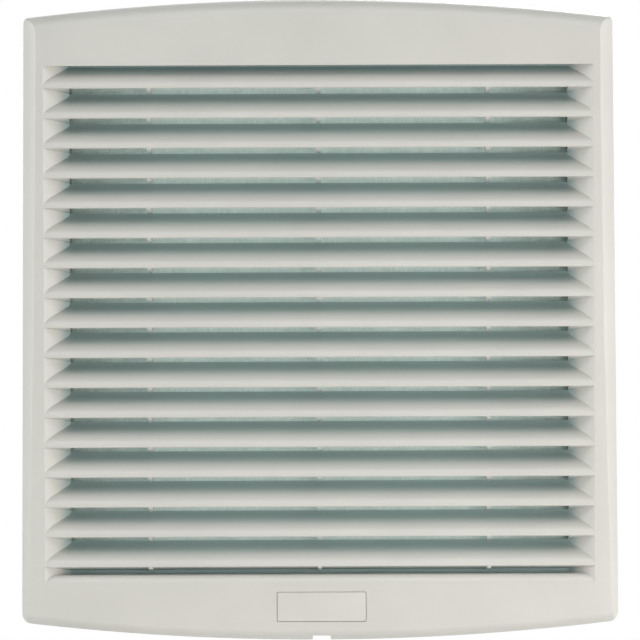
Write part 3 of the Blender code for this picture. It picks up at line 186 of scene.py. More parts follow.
def floor_finish():
    """Pale for light and shadow, brought up to white where the camera looks at it."""
    finish = bpy.data.materials.new("pale_floor")
    finish.use_nodes = True
    nodes = finish.node_tree.nodes
    links = finish.node_tree.links
    shader = nodes["Principled BSDF"]
    shader.inputs["Base Color"].default_value = colour(228, 228, 226)
    shader.inputs["Roughness"].default_value = 0.85
    shader.inputs["Emission Color"].default_value = (1.0, 0.99, 0.98, 1.0)
    shader.inputs["Emission Strength"].default_value = TABLE_GLOW
    place = nodes.new("ShaderNodeTexCoord")
    shrink = nodes.new("ShaderNodeMapping")
    shrink.inputs["Scale"].default_value = (1 / FLOOR_RADIUS, 1 / FLOOR_RADIUS, 1.0)
    far = nodes.new("ShaderNodeTexGradient")
    far.gradient_type = "SPHERICAL"
    fade = nodes.new("ShaderNodeMapRange")
    fade.inputs["From Min"].default_value = 0.15
    fade.inputs["From Max"].default_value = 0.7
    fade.inputs["To Min"].default_value = 1.0
    fade.inputs["To Max"].default_value = 0.1
    glow = nodes.new("ShaderNodeEmission")
    glow.inputs["Color"].default_value = (1.0, 1.0, 1.0, 1.0)
    links.new(place.outputs["Object"], shrink.inputs["Vector"])
    links.new(shrink.outputs["Vector"], far.inputs["Vector"])
    links.new(far.outputs["Fac"], fade.inputs["Value"])
    links.new(fade.outputs["Result"], glow.inputs["Strength"])
    both = nodes.new("ShaderNodeAddShader")
    links.new(shader.outputs[0], both.inputs[0])
    links.new(glow.outputs[0], both.inputs[1])
    floor_surface = nodes["Material Output"].inputs["Surface"]
    white_for_camera(nodes, links, shader.outputs[0], floor_surface, both.outputs[0])
    return finish


bpy.ops.object.select_all(action="DESELECT")
bpy.ops.mesh.primitive_circle_add(
    vertices=96,
    radius=FLOOR_RADIUS,
    fill_type="NGON",
    location=(0, 0, FLOOR_Z),
)
floor = bpy.context.object
floor.name = "floor"
floor.data.materials.append(floor_finish())

# %% [markdown]
# ## Helpers for modelling
#
# Every operator works on what is selected, so each helper first clears the selection. The
# others add a box, draw an outline by extruding one point again and again, and add, set and
# apply one modifier at a time, as one does in the modifier panel.

# %% Modelling helpers
def only(piece):
    """Select one piece and make it active."""
    if bpy.context.object and bpy.context.object.mode != "OBJECT":
        bpy.ops.object.mode_set(mode="OBJECT")
    bpy.ops.object.select_all(action="DESELECT")
    piece.select_set(True)
    bpy.context.view_layer.objects.active = piece


def add_box(name, low, high):
    """A cube with its size and place worked into its mesh."""
    bpy.ops.object.select_all(action="DESELECT")
    middle = [(a + b) / 2 for a, b in zip(low, high)]
    size = [b - a for a, b in zip(low, high)]
    bpy.ops.mesh.primitive_cube_add(size=1.0, location=middle)
    piece = bpy.context.object
    piece.name = name
    piece.scale = size
    bpy.ops.object.transform_apply(location=True, rotation=True, scale=True)
    return piece


def draw_outline(name, points, face=True):
    """Extrude one point along an outline, and fill it with a face."""
    bpy.ops.object.select_all(action="DESELECT")
    bpy.ops.mesh.primitive_plane_add(size=0.001, location=(0, 0, 0))
    piece = bpy.context.object
    piece.name = name
    bpy.ops.object.mode_set(mode="EDIT")
    bpy.ops.mesh.select_all(action="SELECT")
    bpy.ops.mesh.merge(type="CENTER")
    bpy.ops.transform.translate(value=points[0])
    for start, end in zip(points, points[1:]):
        step = Vector(end) - Vector(start)
        bpy.ops.mesh.extrude_region_move(TRANSFORM_OT_translate={"value": step})
    bpy.ops.mesh.select_all(action="SELECT")
    if face:
        bpy.ops.mesh.edge_face_add()
    bpy.ops.object.mode_set(mode="OBJECT")
    return piece


def pull(piece, *steps):
    """Extrude a single face along one or more steps, then turn all faces outwards."""
    only(piece)
    bpy.ops.object.mode_set(mode="EDIT")
    bpy.ops.mesh.select_all(action="SELECT")
    for step in steps:
        bpy.ops.mesh.extrude_region_move(TRANSFORM_OT_translate={"value": step})
    bpy.ops.mesh.select_all(action="SELECT")
    bpy.ops.mesh.normals_make_consistent(inside=False)
    bpy.ops.object.mode_set(mode="OBJECT")
    return piece


def slice_off(piece, point, outwards):
    """Cut a closed shape with a plane, drop the part in front of it and close the cut."""
    only(piece)
    bpy.ops.object.mode_set(mode="EDIT")
    bpy.ops.mesh.select_all(action="SELECT")
    bpy.ops.mesh.bisect(plane_co=point, plane_no=outwards, use_fill=True, clear_outer=True)
    bpy.ops.object.mode_set(mode="OBJECT")
    return piece


def finish_with(piece, kind, **settings):
    """Add one modifier, set it and apply it."""
    only(piece)
    step = piece.modifiers.new(kind.lower(), kind)
    for name, value in settings.items():
        setattr(step, name, value)
    bpy.ops.object.modifier_apply(modifier=step.name)
    return piece


def combine(piece, tool, operation):
    """Cut one closed shape from another or weld it on, and remove the tool."""
    finish_with(piece, "BOOLEAN", operation=operation, solver="EXACT", object=tool)
    bpy.data.objects.remove(tool, do_unlink=True)
    return piece


def cut(piece, *tools):
    for tool in tools:
        combine(piece, tool, "DIFFERENCE")
    return piece


def weld(piece, *tools):
    for tool in tools:
        combine(piece, tool, "UNION")
    return piece


def join_into(pieces, name):
    """Put several shapes into one object without merging them."""
    only(pieces[0])
    for piece in pieces[1:]:
        piece.select_set(True)
    bpy.ops.object.join()
    pieces[0].name = name
    return pieces[0]


def clean_up(piece, distance=0.00001):
    """Merge points that lie on each other and turn the faces outwards."""
    only(piece)
    bpy.ops.object.mode_set(mode="EDIT")
    bpy.ops.mesh.select_all(action="SELECT")
    bpy.ops.mesh.remove_doubles(threshold=distance)
    bpy.ops.mesh.normals_make_consistent(inside=False)
    bpy.ops.object.mode_set(mode="OBJECT")
    return piece


def smooth(piece, degrees=32.0):
    """Shade soft where faces meet at a small angle and crisp elsewhere."""
    only(piece)
    bpy.ops.object.shade_smooth_by_angle(angle=math.radians(degrees))
    return piece


def triangles(piece):
    return sum(len(face.vertices) - 2 for face in piece.data.polygons)


def place_on(piece, body, slot, finish, *nodes):
    """Give a piece its finish and its body, and let it stand for CAD nodes. The slot is not used."""
    piece.data.materials.clear()
    piece.data.materials.append(finish)
    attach(piece, body)
    if nodes:
        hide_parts(*nodes)
    print(piece.name, "triangles:", triangles(piece))


# %% [markdown]
# ## Finishes
#
# Moulded plastic is never one flat colour. Its mould was etched, which leaves a grain far
# finer than a millimetre, and its tone wanders a little over the part. Two noise patterns on
# the object's own coordinates give both: a fine one drives a small bump, and a broad one
# moves the colour and the gloss by a few hundredths.

# %% Moulded plastic
def start_finish(name, base, roughness, metallic=0.0):
    finish = bpy.data.materials.new(name)
    finish.use_nodes = True
    shader = finish.node_tree.nodes["Principled BSDF"]
    shader.inputs["Base Color"].default_value = base
    shader.inputs["Roughness"].default_value = roughness
    shader.inputs["Metallic"].default_value = metallic
    return finish, shader


def add_noise(finish, scale, detail=2.0, stretch=None, roughness=0.5):
    """A noise pattern on object coordinates, stretched along an axis if asked."""
    nodes = finish.node_tree.nodes
    links = finish.node_tree.links
    place = nodes.new("ShaderNodeTexCoord")
    source = place.outputs["Object"]
    if stretch:
        mapping = nodes.new("ShaderNodeMapping")
        mapping.inputs["Scale"].default_value = stretch
        links.new(source, mapping.inputs["Vector"])
        source = mapping.outputs["Vector"]
    noise = nodes.new("ShaderNodeTexNoise")
    noise.inputs["Scale"].default_value = scale
    noise.inputs["Detail"].default_value = detail
    noise.inputs["Roughness"].default_value = roughness
    links.new(source, noise.inputs["Vector"])
    return noise.outputs["Fac"]


def blend_tones(finish, amount, dark, light, low=0.3, high=0.7):
    """Colour that moves between two tones as a pattern goes from low to high."""
    nodes = finish.node_tree.nodes
    ramp = nodes.new("ShaderNodeValToRGB")
    ramp.color_ramp.elements[0].position = low
    ramp.color_ramp.elements[0].color = dark
    ramp.color_ramp.elements[1].position = high
    ramp.color_ramp.elements[1].color = light
    finish.node_tree.links.new(amount, ramp.inputs["Fac"])
    return ramp.outputs["Color"]


def spread(finish, amount, low, high):
    """Bring a pattern from the range 0.3 to 0.7 into a range of values."""
    stretch = finish.node_tree.nodes.new("ShaderNodeMapRange")
    stretch.inputs["From Min"].default_value = 0.3
    stretch.inputs["From Max"].default_value = 0.7
    stretch.inputs["To Min"].default_value = low
    stretch.inputs["To Max"].default_value = high
    finish.node_tree.links.new(amount, stretch.inputs["Value"])
    return stretch.outputs["Result"]


def add_bump(finish, shader, height, depth, strength=1.0, under=None):
    """Raise and lower the surface by a pattern, on top of an earlier bump if there is one."""
    bump = finish.node_tree.nodes.new("ShaderNodeBump")
    bump.inputs["Strength"].default_value = strength
    bump.inputs["Distance"].default_value = depth
    finish.node_tree.links.new(height, bump.inputs["Height"])
    if under is not None:
        finish.node_tree.links.new(under, bump.inputs["Normal"])
    finish.node_tree.links.new(bump.outputs["Normal"], shader.inputs["Normal"])
    return bump.outputs["Normal"]


def scaled(base, share):
    return tuple(min(part * share, 1.0) for part in base[:3]) + (1.0,)


def moulded_plastic(name, base, roughness, grain=1500.0, depth=0.00002, wander=0.04):
    """Plastic from an etched mould, with a slow change of tone and gloss."""
    finish, shader = start_finish(name, base, roughness)
    links = finish.node_tree.links
    broad = add_noise(finish, 22.0, 3.0)
    tone = blend_tones(finish, broad, scaled(base, 1 - wander), scaled(base, 1 + wander / 2))
    links.new(tone, shader.inputs["Base Color"])
    gloss = spread(finish, add_noise(finish, 60.0, 3.0), roughness - 0.04, roughness + 0.05)
    links.new(gloss, shader.inputs["Roughness"])
    add_bump(finish, shader, add_noise(finish, grain, 3.0), depth)
    return finish


cover_finish = moulded_plastic("cover_plastic", colour(217, 215, 209), 0.34)
frame_finish = moulded_plastic("frame_plastic", colour(206, 205, 199), 0.48)
plate_finish = moulded_plastic("plate_plastic", colour(219, 217, 211), 0.34, grain=2600.0, depth=0.00001)
clip_finish = moulded_plastic("clip_plastic", colour(74, 76, 78), 0.42)
impeller_finish = moulded_plastic("impeller_plastic", colour(38, 39, 41), 0.46, wander=0.10)
block_finish = moulded_plastic("block_plastic", colour(226, 225, 219), 0.40)
print("plastics:", len([item for item in bpy.data.materials if "plastic" in item.name]))

# %% [markdown]
# ## Metals, rubber and foam
#
# Rolled and drawn metal carries fine lines along the way it was drawn, cast metal a blunt
# grain under its black coat, and foam small open cells. The same noise is used, at another
# scale and stretched where the metal was drawn.

# %% Metals, rubber and foam
def drawn_metal(name, base, roughness, stretch=(1.0, 1.0, 1.0), scale=900.0, depth=0.000008):
    """Bare or plated metal with fine lines and a slightly uneven gloss."""
    finish, shader = start_finish(name, base, roughness, 1.0)
    links = finish.node_tree.links
    lines = add_noise(finish, scale, 4.0, stretch)
    tone = blend_tones(finish, add_noise(finish, 120.0, 3.0), scaled(base, 0.86), scaled(base, 1.05))
    links.new(tone, shader.inputs["Base Color"])
    links.new(spread(finish, lines, roughness - 0.08, roughness + 0.10), shader.inputs["Roughness"])
    add_bump(finish, shader, lines, depth)
    return finish


def coated_casting(name, base, roughness):
    """Black coat over a die casting: a blunt grain, and gloss that differs from spot to spot."""
    finish, shader = start_finish(name, base, roughness)
    links = finish.node_tree.links
    tone = blend_tones(finish, add_noise(finish, 70.0, 4.0), scaled(base, 0.8), scaled(base, 1.35))
    links.new(tone, shader.inputs["Base Color"])
    uneven_gloss = spread(finish, add_noise(finish, 240.0, 3.0), roughness - 0.07, roughness + 0.08)
    links.new(uneven_gloss, shader.inputs["Roughness"])
    first = add_bump(finish, shader, add_noise(finish, 900.0, 3.0), 0.00004)
    add_bump(finish, shader, add_noise(finish, 160.0, 2.0), 0.00006, under=first)
    return finish


def open_foam(name, base, scale=1300.0, depth=0.00025):
    """Foam or felt rubber with small cells, with painted shade in the pits of the cells."""
    finish, shader = start_finish(name, base, 0.92)
    nodes = finish.node_tree.nodes
    links = finish.node_tree.links
    place = nodes.new("ShaderNodeTexCoord")
    cells = nodes.new("ShaderNodeTexVoronoi")
    cells.inputs["Scale"].default_value = scale
    links.new(place.outputs["Object"], cells.inputs["Vector"])
    # Painted shade: the tone is darkest where the bump sinks into a cell.
    tone = blend_tones(finish, cells.outputs["Distance"], scaled(base, 0.45), scaled(base, 1.3), 0.0, 0.6)
    links.new(tone, shader.inputs["Base Color"])
    add_bump(finish, shader, cells.outputs["Distance"], depth)
    return finish


casting_finish = coated_casting("coated_casting", colour(46, 47, 49), 0.44)
cup_finish = coated_casting("cup_coat", colour(52, 53, 55), 0.36)
wire_finish = drawn_metal("guard_wire_plating", colour(196, 197, 196), 0.24, scale=1400.0)
screw_finish = drawn_metal("zinc_screw", colour(190, 192, 194), 0.28)
pin_finish = drawn_metal("steel_pin", colour(178, 180, 182), 0.26, (1.0, 14.0, 14.0))
bearing_finish = drawn_metal("bearing_steel", colour(186, 188, 190), 0.20)
stator_finish = drawn_metal("stator_sheets", colour(120, 122, 126), 0.38, (1.0, 40.0, 1.0), 700.0, 0.00003)
copper_finish = drawn_metal("winding_copper", colour(176, 98, 52), 0.30, (40.0, 1.0, 40.0), 500.0, 0.00006)
brass_finish = drawn_metal("tag_brass", colour(198, 168, 96), 0.30)
foam_finish = open_foam("gasket_foam", colour(44, 45, 46))
rubber_finish = moulded_plastic("grommet_rubber", colour(34, 34, 35), 0.62, wander=0.12)
brown_finish = moulded_plastic("lead_brown", colour(96, 60, 36), 0.38, wander=0.08)
blue_finish = moulded_plastic("lead_blue", colour(44, 92, 172), 0.38, wander=0.08)
print("finishes:", len(bpy.data.materials))

# %% [markdown]
# ## The louvre cover: its outer form
#
# The cover is a shallow tray, thicker in the middle than at its rim. Its face is slightly
# crowned from top to bottom, rolls back at the top edge and meets the sides with 45 degree
# bevels. Such a form has no simple primitive: a grid is added, and each of its points is set
# by the curve that it lies on. Every ridge gets a row of points on a small arc, so that it
# catches a soft line of light instead of a hard crease.

# %% Sizes of the cover
WIDTH = 0.249  # across the bottom corners
TAPER = 0.0015
HEIGHT = 0.2676
RISE = 0.0076
WALL = 0.0025
FRONT_Y = -0.026
REAR_Y = -0.0025
SIDE_FRONT_Y = -0.0206
CREST_Z = 0.108
BEND = 0.0573
CORNER_Z = HEIGHT / 2 - RISE
TOP_CORNER = 0.0025
BOTTOM_CORNER = 0.004
TOP_ROLL = 0.0075
BOTTOM_ROLL = 0.004
BOTTOM_DROP = 0.003
RIDGE_RADIUS = 0.0012
SIDE_RADIUS = 0.0012
RIM_RADIUS = 0.0009
HINGE_Y = -0.008
HINGE_Z = 0.1283


def face_y(z):
    """Where the front face lies at a height."""
    return FRONT_Y + BEND * (z - CREST_Z) ** 2


def half_width(z):
    return WIDTH / 2 - TAPER * (z + CORNER_Z) / (2 * CORNER_Z)


def edge_z(x):
    """How far the crowned top or bottom edge lies from the middle."""
    return HEIGHT / 2 - RISE * (x / (WIDTH / 2)) ** 2


def arc_drop(distance, radius):
    """How far an arc pulls back, at a distance from where it ends."""
    if distance >= radius:
        return 0.0
    return radius - math.sqrt(radius**2 - (radius - distance) ** 2)


def face_drop(below_top, above_bottom, rim):
    """How far the face rolls back near its top and bottom edges."""
    drop = arc_drop(below_top, rim) + arc_drop(above_bottom, rim)
    drop += arc_drop(below_top, TOP_ROLL)
    if above_bottom < BOTTOM_ROLL:
        drop += BOTTOM_DROP * (1 - above_bottom / BOTTOM_ROLL) ** 2
    return drop


# %% [markdown]
# A row of the grid runs across the cover. Its middle part lies on the face, then come an arc
# over the ridge, the bevel, and an arc into the side wall. The same function draws the inside
# of the tray when it is given an inset, which is how a wall of even thickness comes about.

# %% One row across the cover
def cover_row(side, distance, inset, across):
    """Points across the cover at a distance from its top or bottom edge, or at a height."""
    corner = max((TOP_CORNER if side == "top" else BOTTOM_CORNER) - inset, 0.0003)
    rim = 0.0 if inset else RIM_RADIUS
    if side == "height":
        height = distance
        half = half_width(height) - inset
    else:
        height = CORNER_Z - distance if side == "top" else distance - CORNER_Z
        half = half_width(height) - inset - arc_drop(distance, corner)
    side_y = SIDE_FRONT_Y + inset * (math.sqrt(2) - 1)

    def z_at(x):
        if side == "top":
            return edge_z(x) - inset - distance
        if side == "bottom":
            return distance + inset - edge_z(x)
        return height

    def y_at(x):
        z = z_at(x)
        return face_y(z) + inset + face_drop(edge_z(x) - inset - z, z + edge_z(x) - inset, rim)

    bevel = max(side_y - y_at(half), 0.0003)
    side_y = max(side_y, y_at(half))
    ridge = min(0.0 if inset else RIDGE_RADIUS, 0.9 * bevel)
    outer = min(0.0 if inset else SIDE_RADIUS, 0.9 * bevel)
    tangent = math.tan(math.radians(22.5))
    flat = half - bevel - ridge * tangent
    right = []
    for degrees in (11.25, 22.5, 33.75, 45.0):
        turn = math.radians(degrees)
        x = flat + ridge * math.sin(turn)
        right.append((x, y_at(flat) + ridge * (1 - math.cos(turn))))
    for degrees in (45.0, 56.25, 67.5, 78.75, 90.0):
        turn = math.radians(degrees)
        x = half - outer + outer * math.sin(turn)
        right.append((x, side_y + outer * tangent - outer * math.cos(turn)))
    row = [(-x, y, z_at(x)) for x, y in reversed(right)]
    for i in range(across + 1):
        x = flat * (2 * i / across - 1)
        row.append((x, y_at(x), z_at(x)))
    row += [(x, y, z_at(x)) for x, y in right]
    return row


def cover_form(name, inset, across, heights, rear):
    """The outer form of the cover, or its hollow with an inset, closed at a rear plane."""
    bottom = max(BOTTOM_CORNER - inset, 0.0003)
    top = max(TOP_CORNER - inset, 0.0003)
    rows = [cover_row("bottom", share * bottom, inset, across) for share in (0.0, 0.03, 0.1, 0.22, 0.4, 0.7)]
    rows.append(cover_row("bottom", BOTTOM_ROLL, inset, across))
    low = -0.108
    high = 0.104
    for i in range(heights + 1):
        rows.append(cover_row("height", low + (high - low) * i / heights, inset, across))
    rows += [cover_row("top", share * TOP_ROLL, inset, across) for share in (1.4, 1.0, 0.85, 0.7, 0.57, 0.45)]
    corner_shares = (1.0, 0.72, 0.48, 0.28, 0.14, 0.05, 0.0)
    rows += [cover_row("top", share * top, inset, across) for share in corner_shares]
    columns = len(rows[0])
    bpy.ops.object.select_all(action="DESELECT")
    bpy.ops.mesh.primitive_grid_add(x_subdivisions=columns - 1, y_subdivisions=len(rows) - 1, size=1.0)
    form = bpy.context.object
    form.name = name
    for vert in form.data.vertices:
        column = round((vert.co.x + 0.5) * (columns - 1))
        row = round((vert.co.y + 0.5) * (len(rows) - 1))
        vert.co = rows[row][column]
    bpy.ops.object.mode_set(mode="EDIT")
    bpy.ops.mesh.select_mode(type="EDGE")
    bpy.ops.mesh.select_all(action="DESELECT")
    bpy.ops.mesh.select_non_manifold()
    bpy.ops.mesh.extrude_edges_move(TRANSFORM_OT_translate={"value": (0, 0.001, 0)})
    bpy.ops.transform.resize(value=(1, 0, 1), center_override=(0, rear, 0))
    bpy.ops.mesh.edge_face_add()
    bpy.ops.mesh.select_mode(type="VERT")
    bpy.ops.mesh.select_all(action="SELECT")
    bpy.ops.mesh.remove_doubles(threshold=0.000005)
    bpy.ops.mesh.normals_make_consistent(inside=False)
    bpy.ops.object.mode_set(mode="OBJECT")
    return form


cover = cover_form("louvre_cover", 0.0, 24, 24, REAR_Y)
print("outer form:", triangles(cover), "triangles")

# %% [markdown]
# ## The louvre cover: blades, pockets and gaps
#
# Seventeen blades slope up and back. Seen from the side one blade is a strip with a rounded
# nose. It is easier to cut away the air than to build each blade: a pocket in front of every
# blade, drawn once as an outline with the nose in it, pulled across and cut at 45 degrees at
# both ends, and then a slit under each blade, in four parts, which leaves the three ribs.

# %% Sizes of the louvre
BLADES = 17
PITCH = 0.01247
FIRST_TIP_Z = 0.09665
DEPTH = 0.0112
LOUVRE_HALF = 0.1146
MITRE = 0.94  # how far the side walls of the opening close in, per depth
DEEP_HALF = LOUVRE_HALF - MITRE * DEPTH
LOUVRE_TOP_Z = 0.106
SILL_Z = -0.1063
SILL_EDGE = 0.0044
RIB_PITCH = DEEP_HALF - 0.0335
RIB_THICK = 0.0018
NOSE_WIDTH = 0.0017
BLADE_TOP = [
    (0.0, 0.00045),
    (0.00007, 0.0010),
    (0.00024, 0.0016),
    (0.00052, 0.0022),
    (0.00095, 0.0028),
    (0.00152, 0.0034),
    (0.00222, 0.0040),
    (0.00305, 0.0046),
    (0.00413, 0.0053),
    (0.00576, 0.0063),
    (0.00828, 0.0078),
    (0.01050, 0.0093),
]
FORE = -0.003  # the tools start this far in front of the face


def tip_z(blade):
    """Height of a blade's lower front edge."""
    return FIRST_TIP_Z - blade * PITCH


def tip_edge(z):
    """The small round under a blade's front edge, from inside to the front."""
    return [(0.00035, z - 0.00006), (0.00016, z - 0.00001), (0.00004, z + 0.0001), (0.0, z + 0.00022)]


def pocket_outline(slot):
    """The air in front of a blade, as (depth behind the face, height) points."""
    base = tip_z(slot)
    if slot == BLADES:
        front = tip_z(BLADES - 1)
        outline = [(FORE, SILL_Z - SILL_EDGE)]
        for degrees in (0, 15, 30, 45, 60, 75, 90):
            turn = math.radians(degrees)
            outline.append((SILL_EDGE * (1 - math.cos(turn)), SILL_Z - SILL_EDGE * (1 - math.sin(turn))))
        outline += [(DEPTH - 0.0003, SILL_Z), (DEPTH - 0.0003, front - 0.0019)]
        return outline + tip_edge(front) + [(FORE, front + 0.0003)]
    outline = [(FORE, base + 0.0005)]
    if slot == 0:
        outline += [(depth, base + height) for depth, height in BLADE_TOP]
        outline += [(0.0105, LOUVRE_TOP_Z + 0.0003), (0.0, LOUVRE_TOP_Z), (FORE, LOUVRE_TOP_Z)]
        return outline
    outline += [(depth, base + height) for depth, height in BLADE_TOP]
    outline.append((DEPTH, base + 0.0106))
    return outline + tip_edge(base + PITCH) + [(FORE, base + PITCH + 0.0003)]


def on_face(outline, x=0.0):
    return [(x, face_y(z) + depth, z) for depth, z in outline]


def pocket(slot):
    """One pocket, with both ends cut at 45 degrees."""
    air = draw_outline("pocket_%d" % slot, on_face(pocket_outline(slot), -LOUVRE_HALF - 0.01))
    pull(air, (2 * LOUVRE_HALF + 0.02, 0, 0))
    z = tip_z(slot) + 0.005
    lean = 2 * BEND * (z - CREST_Z)
    for side in (-1, 1):
        slice_off(air, (side * LOUVRE_HALF, face_y(z), z), (side, MITRE, -MITRE * lean))
    return air


def rib_nose(slot, middle):
    """The blunt front end of a rib, which is seen as a light spot under a blade."""
    above = tip_z(slot - 1)
    profile = [
        (0.0007, 0.0006),
        (0.0007, -0.0005),
        (0.0010, -0.0008),
        (0.0016, -0.0010),
        (0.0080, -0.0022),
        (0.0080, 0.0006),
    ]
    outline = [(depth, above + height) for depth, height in profile]
    return pull(draw_outline("rib_nose", on_face(outline, middle - NOSE_WIDTH / 2)), (NOSE_WIDTH, 0, 0))


def slit(slot, start, end):
    """The way through under the blade above, between two ribs."""
    above = tip_z(slot - 1)
    fore = 0.0010
    aft = DEPTH + 0.003
    slope = 0.724
    outline = [(fore, above - 0.0006)]
    outline += [(0.009, tip_z(slot) + 0.0100), (aft, tip_z(slot) + 0.0110)]
    outline += [(aft, above + slope * (aft - fore)), (0.0022, above + 0.00075), (0.0015, above + 0.0002)]
    outline.append((fore, above - 0.00002))
    air = draw_outline("slit", on_face(outline, start))
    return pull(air, (end - start, 0, 0))


# %% [markdown]
# ## The shade deep in the louvre
#
# Deep between the blades a bluish grey-green tone is mixed into the plastic's own colour. Its cause isn't
# known. A thin film of filter dust is the guess made here, mixed into the plastic's own colour. It is
# painted shade, the stronger the deeper a point lies. The finish has to know how deep a point lies, so a
# few Math nodes work out its distance behind the crowned face, and that steers how much of the painted
# shade is mixed in.

# %% Painted shade behind the face
# Depths where the painted shade begins and is full, and where it fades out at the louvre's sides and above
# and below it.
PAINTED_SHADE_DEPTH = (0.0018, 0.0098)
PAINTED_SHADE_ENDS_ASIDE = (0.1035, 0.111)
PAINTED_SHADE_ENDS_UP = (0.107, 0.1075)


def math_step(finish, operation, *values):
    """One Math node. Each value is a number or the output of another node."""
    step = finish.node_tree.nodes.new("ShaderNodeMath")
    step.operation = operation
    for socket, value in zip(step.inputs, values):
        if isinstance(value, float):
            socket.default_value = value
        else:
            finish.node_tree.links.new(value, socket)
    return step.outputs[0]


def ease(finish, value, start, end, low=0.0, high=1.0):
    """Go softly from low to high while a value goes from start to end."""
    step = finish.node_tree.nodes.new("ShaderNodeMapRange")
    step.interpolation_type = "SMOOTHSTEP"
    for name, number in zip(("From Min", "From Max", "To Min", "To Max"), (start, end, low, high)):
        step.inputs[name].default_value = number
    finish.node_tree.links.new(value, step.inputs["Value"])
    return step.outputs["Result"]


def mix_in(finish, amount, tone):
    """Mix one more tone into the colour of a finish."""
    blend = finish.node_tree.nodes.new("ShaderNodeMix")
    blend.data_type = "RGBA"
    links = finish.node_tree.links
    base = finish.node_tree.nodes["Principled BSDF"].inputs["Base Color"]
    links.new(amount, blend.inputs[0])
    links.new(base.links[0].from_socket, blend.inputs[6])
    blend.inputs[7].default_value = tone
    links.new(blend.outputs[2], base)


def add_painted_shade(finish, shade_tone, share):
    """A painted shade tone that grows with the depth behind the face, inside the louvre only."""
    nodes = finish.node_tree.nodes
    place = nodes.new("ShaderNodeTexCoord")
    axes = nodes.new("ShaderNodeSeparateXYZ")
    finish.node_tree.links.new(place.outputs["Object"], axes.inputs[0])
    aside = math_step(finish, "ABSOLUTE", axes.outputs["X"])
    height = math_step(finish, "ABSOLUTE", axes.outputs["Z"])
    below = math_step(finish, "SUBTRACT", axes.outputs["Z"], CREST_Z)
    face = math_step(finish, "MULTIPLY_ADD", math_step(finish, "MULTIPLY", below, below), BEND, FRONT_Y)
    depth = math_step(finish, "SUBTRACT", axes.outputs["Y"], face)
    between_rails = ease(finish, height, *PAINTED_SHADE_ENDS_UP, 1.0, 0.0)
    between_walls = ease(finish, aside, *PAINTED_SHADE_ENDS_ASIDE, 1.0, 0.0)
    amount = ease(finish, depth, *PAINTED_SHADE_DEPTH, 0.0, share)
    amount = math_step(finish, "MULTIPLY", amount, between_walls)
    mix_in(finish, math_step(finish, "MULTIPLY", amount, between_rails), shade_tone)


# Painted shade: a darker bluish grey-green tone mixed in deep between the blades.
add_painted_shade(cover_finish, colour(142, 173, 174), 0.75)
print("nodes in the cover's finish:", len(cover_finish.node_tree.nodes))

# %% [markdown]
# ## The louvre cover: cutting it out
#
# The hollow of the tray is cut first, but a block behind the face stays for the blades. Then
# the pockets are cut. The tool for a pocket leaves a small blunt nose at each rib, which is
# what is seen of the ribs from the front: a light spot under each blade.

# %% Cut the louvre
def louvre_core():
    """The block that stays behind the face for the blades, widest at the front."""
    bottom = SILL_Z - SILL_EDGE - WALL
    top = LOUVRE_TOP_Z + WALL
    fore = 0.003
    rows = 12
    outer = LOUVRE_HALF + WALL + MITRE * fore
    inner = DEEP_HALF + WALL
    front = face_y(bottom) - fore
    rear = face_y(bottom) + DEPTH
    outline = [(-outer, front, bottom), (outer, front, bottom), (inner, rear, bottom), (-inner, rear, bottom)]
    steps = []
    for i in range(rows):
        low = bottom + (top - bottom) * i / rows
        high = bottom + (top - bottom) * (i + 1) / rows
        steps.append((0, face_y(high) - face_y(low), high - low))
    return pull(draw_outline("louvre_core", outline), *steps)


hollow = cover_form("cover_hollow", WALL, 8, 8, REAR_Y + 0.001)
cut(hollow, louvre_core())
cut(cover, hollow)
pockets = join_into([pocket(slot) for slot in range(BLADES + 1)], "pockets")
rib_middles = (-RIB_PITCH, 0.0, RIB_PITCH)
noses = [rib_nose(slot, middle) for slot in range(1, BLADES + 1) for middle in rib_middles]
cut(pockets, join_into(noses, "rib_noses"))
cut(cover, pockets)
print("with pockets:", triangles(cover), "triangles")

# %% Cut the slits between the ribs
HALF_RIB = RIB_THICK / 2
SPANS = [
    (-DEEP_HALF, -RIB_PITCH - HALF_RIB),
    (-RIB_PITCH + HALF_RIB, -HALF_RIB),
    (HALF_RIB, RIB_PITCH - HALF_RIB),
    (RIB_PITCH + HALF_RIB, DEEP_HALF),
]
slits = [slit(slot, start, end) for slot in range(1, BLADES) for start, end in SPANS]
cut(cover, join_into(slits, "slits"))
print("with slits:", triangles(cover), "triangles")

# %% [markdown]
# ## The louvre cover: hinge cheeks, catch, badge field and pry notch
#
# Behind the top wall two pairs of cheeks hold the hinge pins. The bottom edge has a small
# notch for a screwdriver, which lifts the sprung tongue of the frame off the catch. The
# shallow field in the bottom rail takes a plate, which is left blank here.

# %% Details of the cover
BADGE_X = 0.0006
BADGE_Z = 0.014 - HEIGHT / 2
BADGE_WIDTH = 0.0374
BADGE_HEIGHT = 0.0126
BADGE_DEPTH = 0.0010
NOTCH_WIDTH = 0.0075
NOTCH_DEEP = 0.0019
HINGE_X = 0.030
ARM_WIDTH = 0.006
CHEEK_WIDTH = 0.003
KNUCKLE = 0.0022


def rod(name, start, end, radius, sides=48):
    """A cylinder between two points, with its place worked into its mesh."""
    bpy.ops.object.select_all(action="DESELECT")
    start = Vector(start)
    along = Vector(end) - start
    turn = along.to_track_quat("Z", "Y").to_euler()
    bpy.ops.mesh.primitive_cylinder_add(
        vertices=sides, radius=radius, depth=along.length, location=start + along / 2, rotation=turn
    )
    piece = bpy.context.object
    piece.name = name
    bpy.ops.object.transform_apply(location=True, rotation=True, scale=True)
    return piece


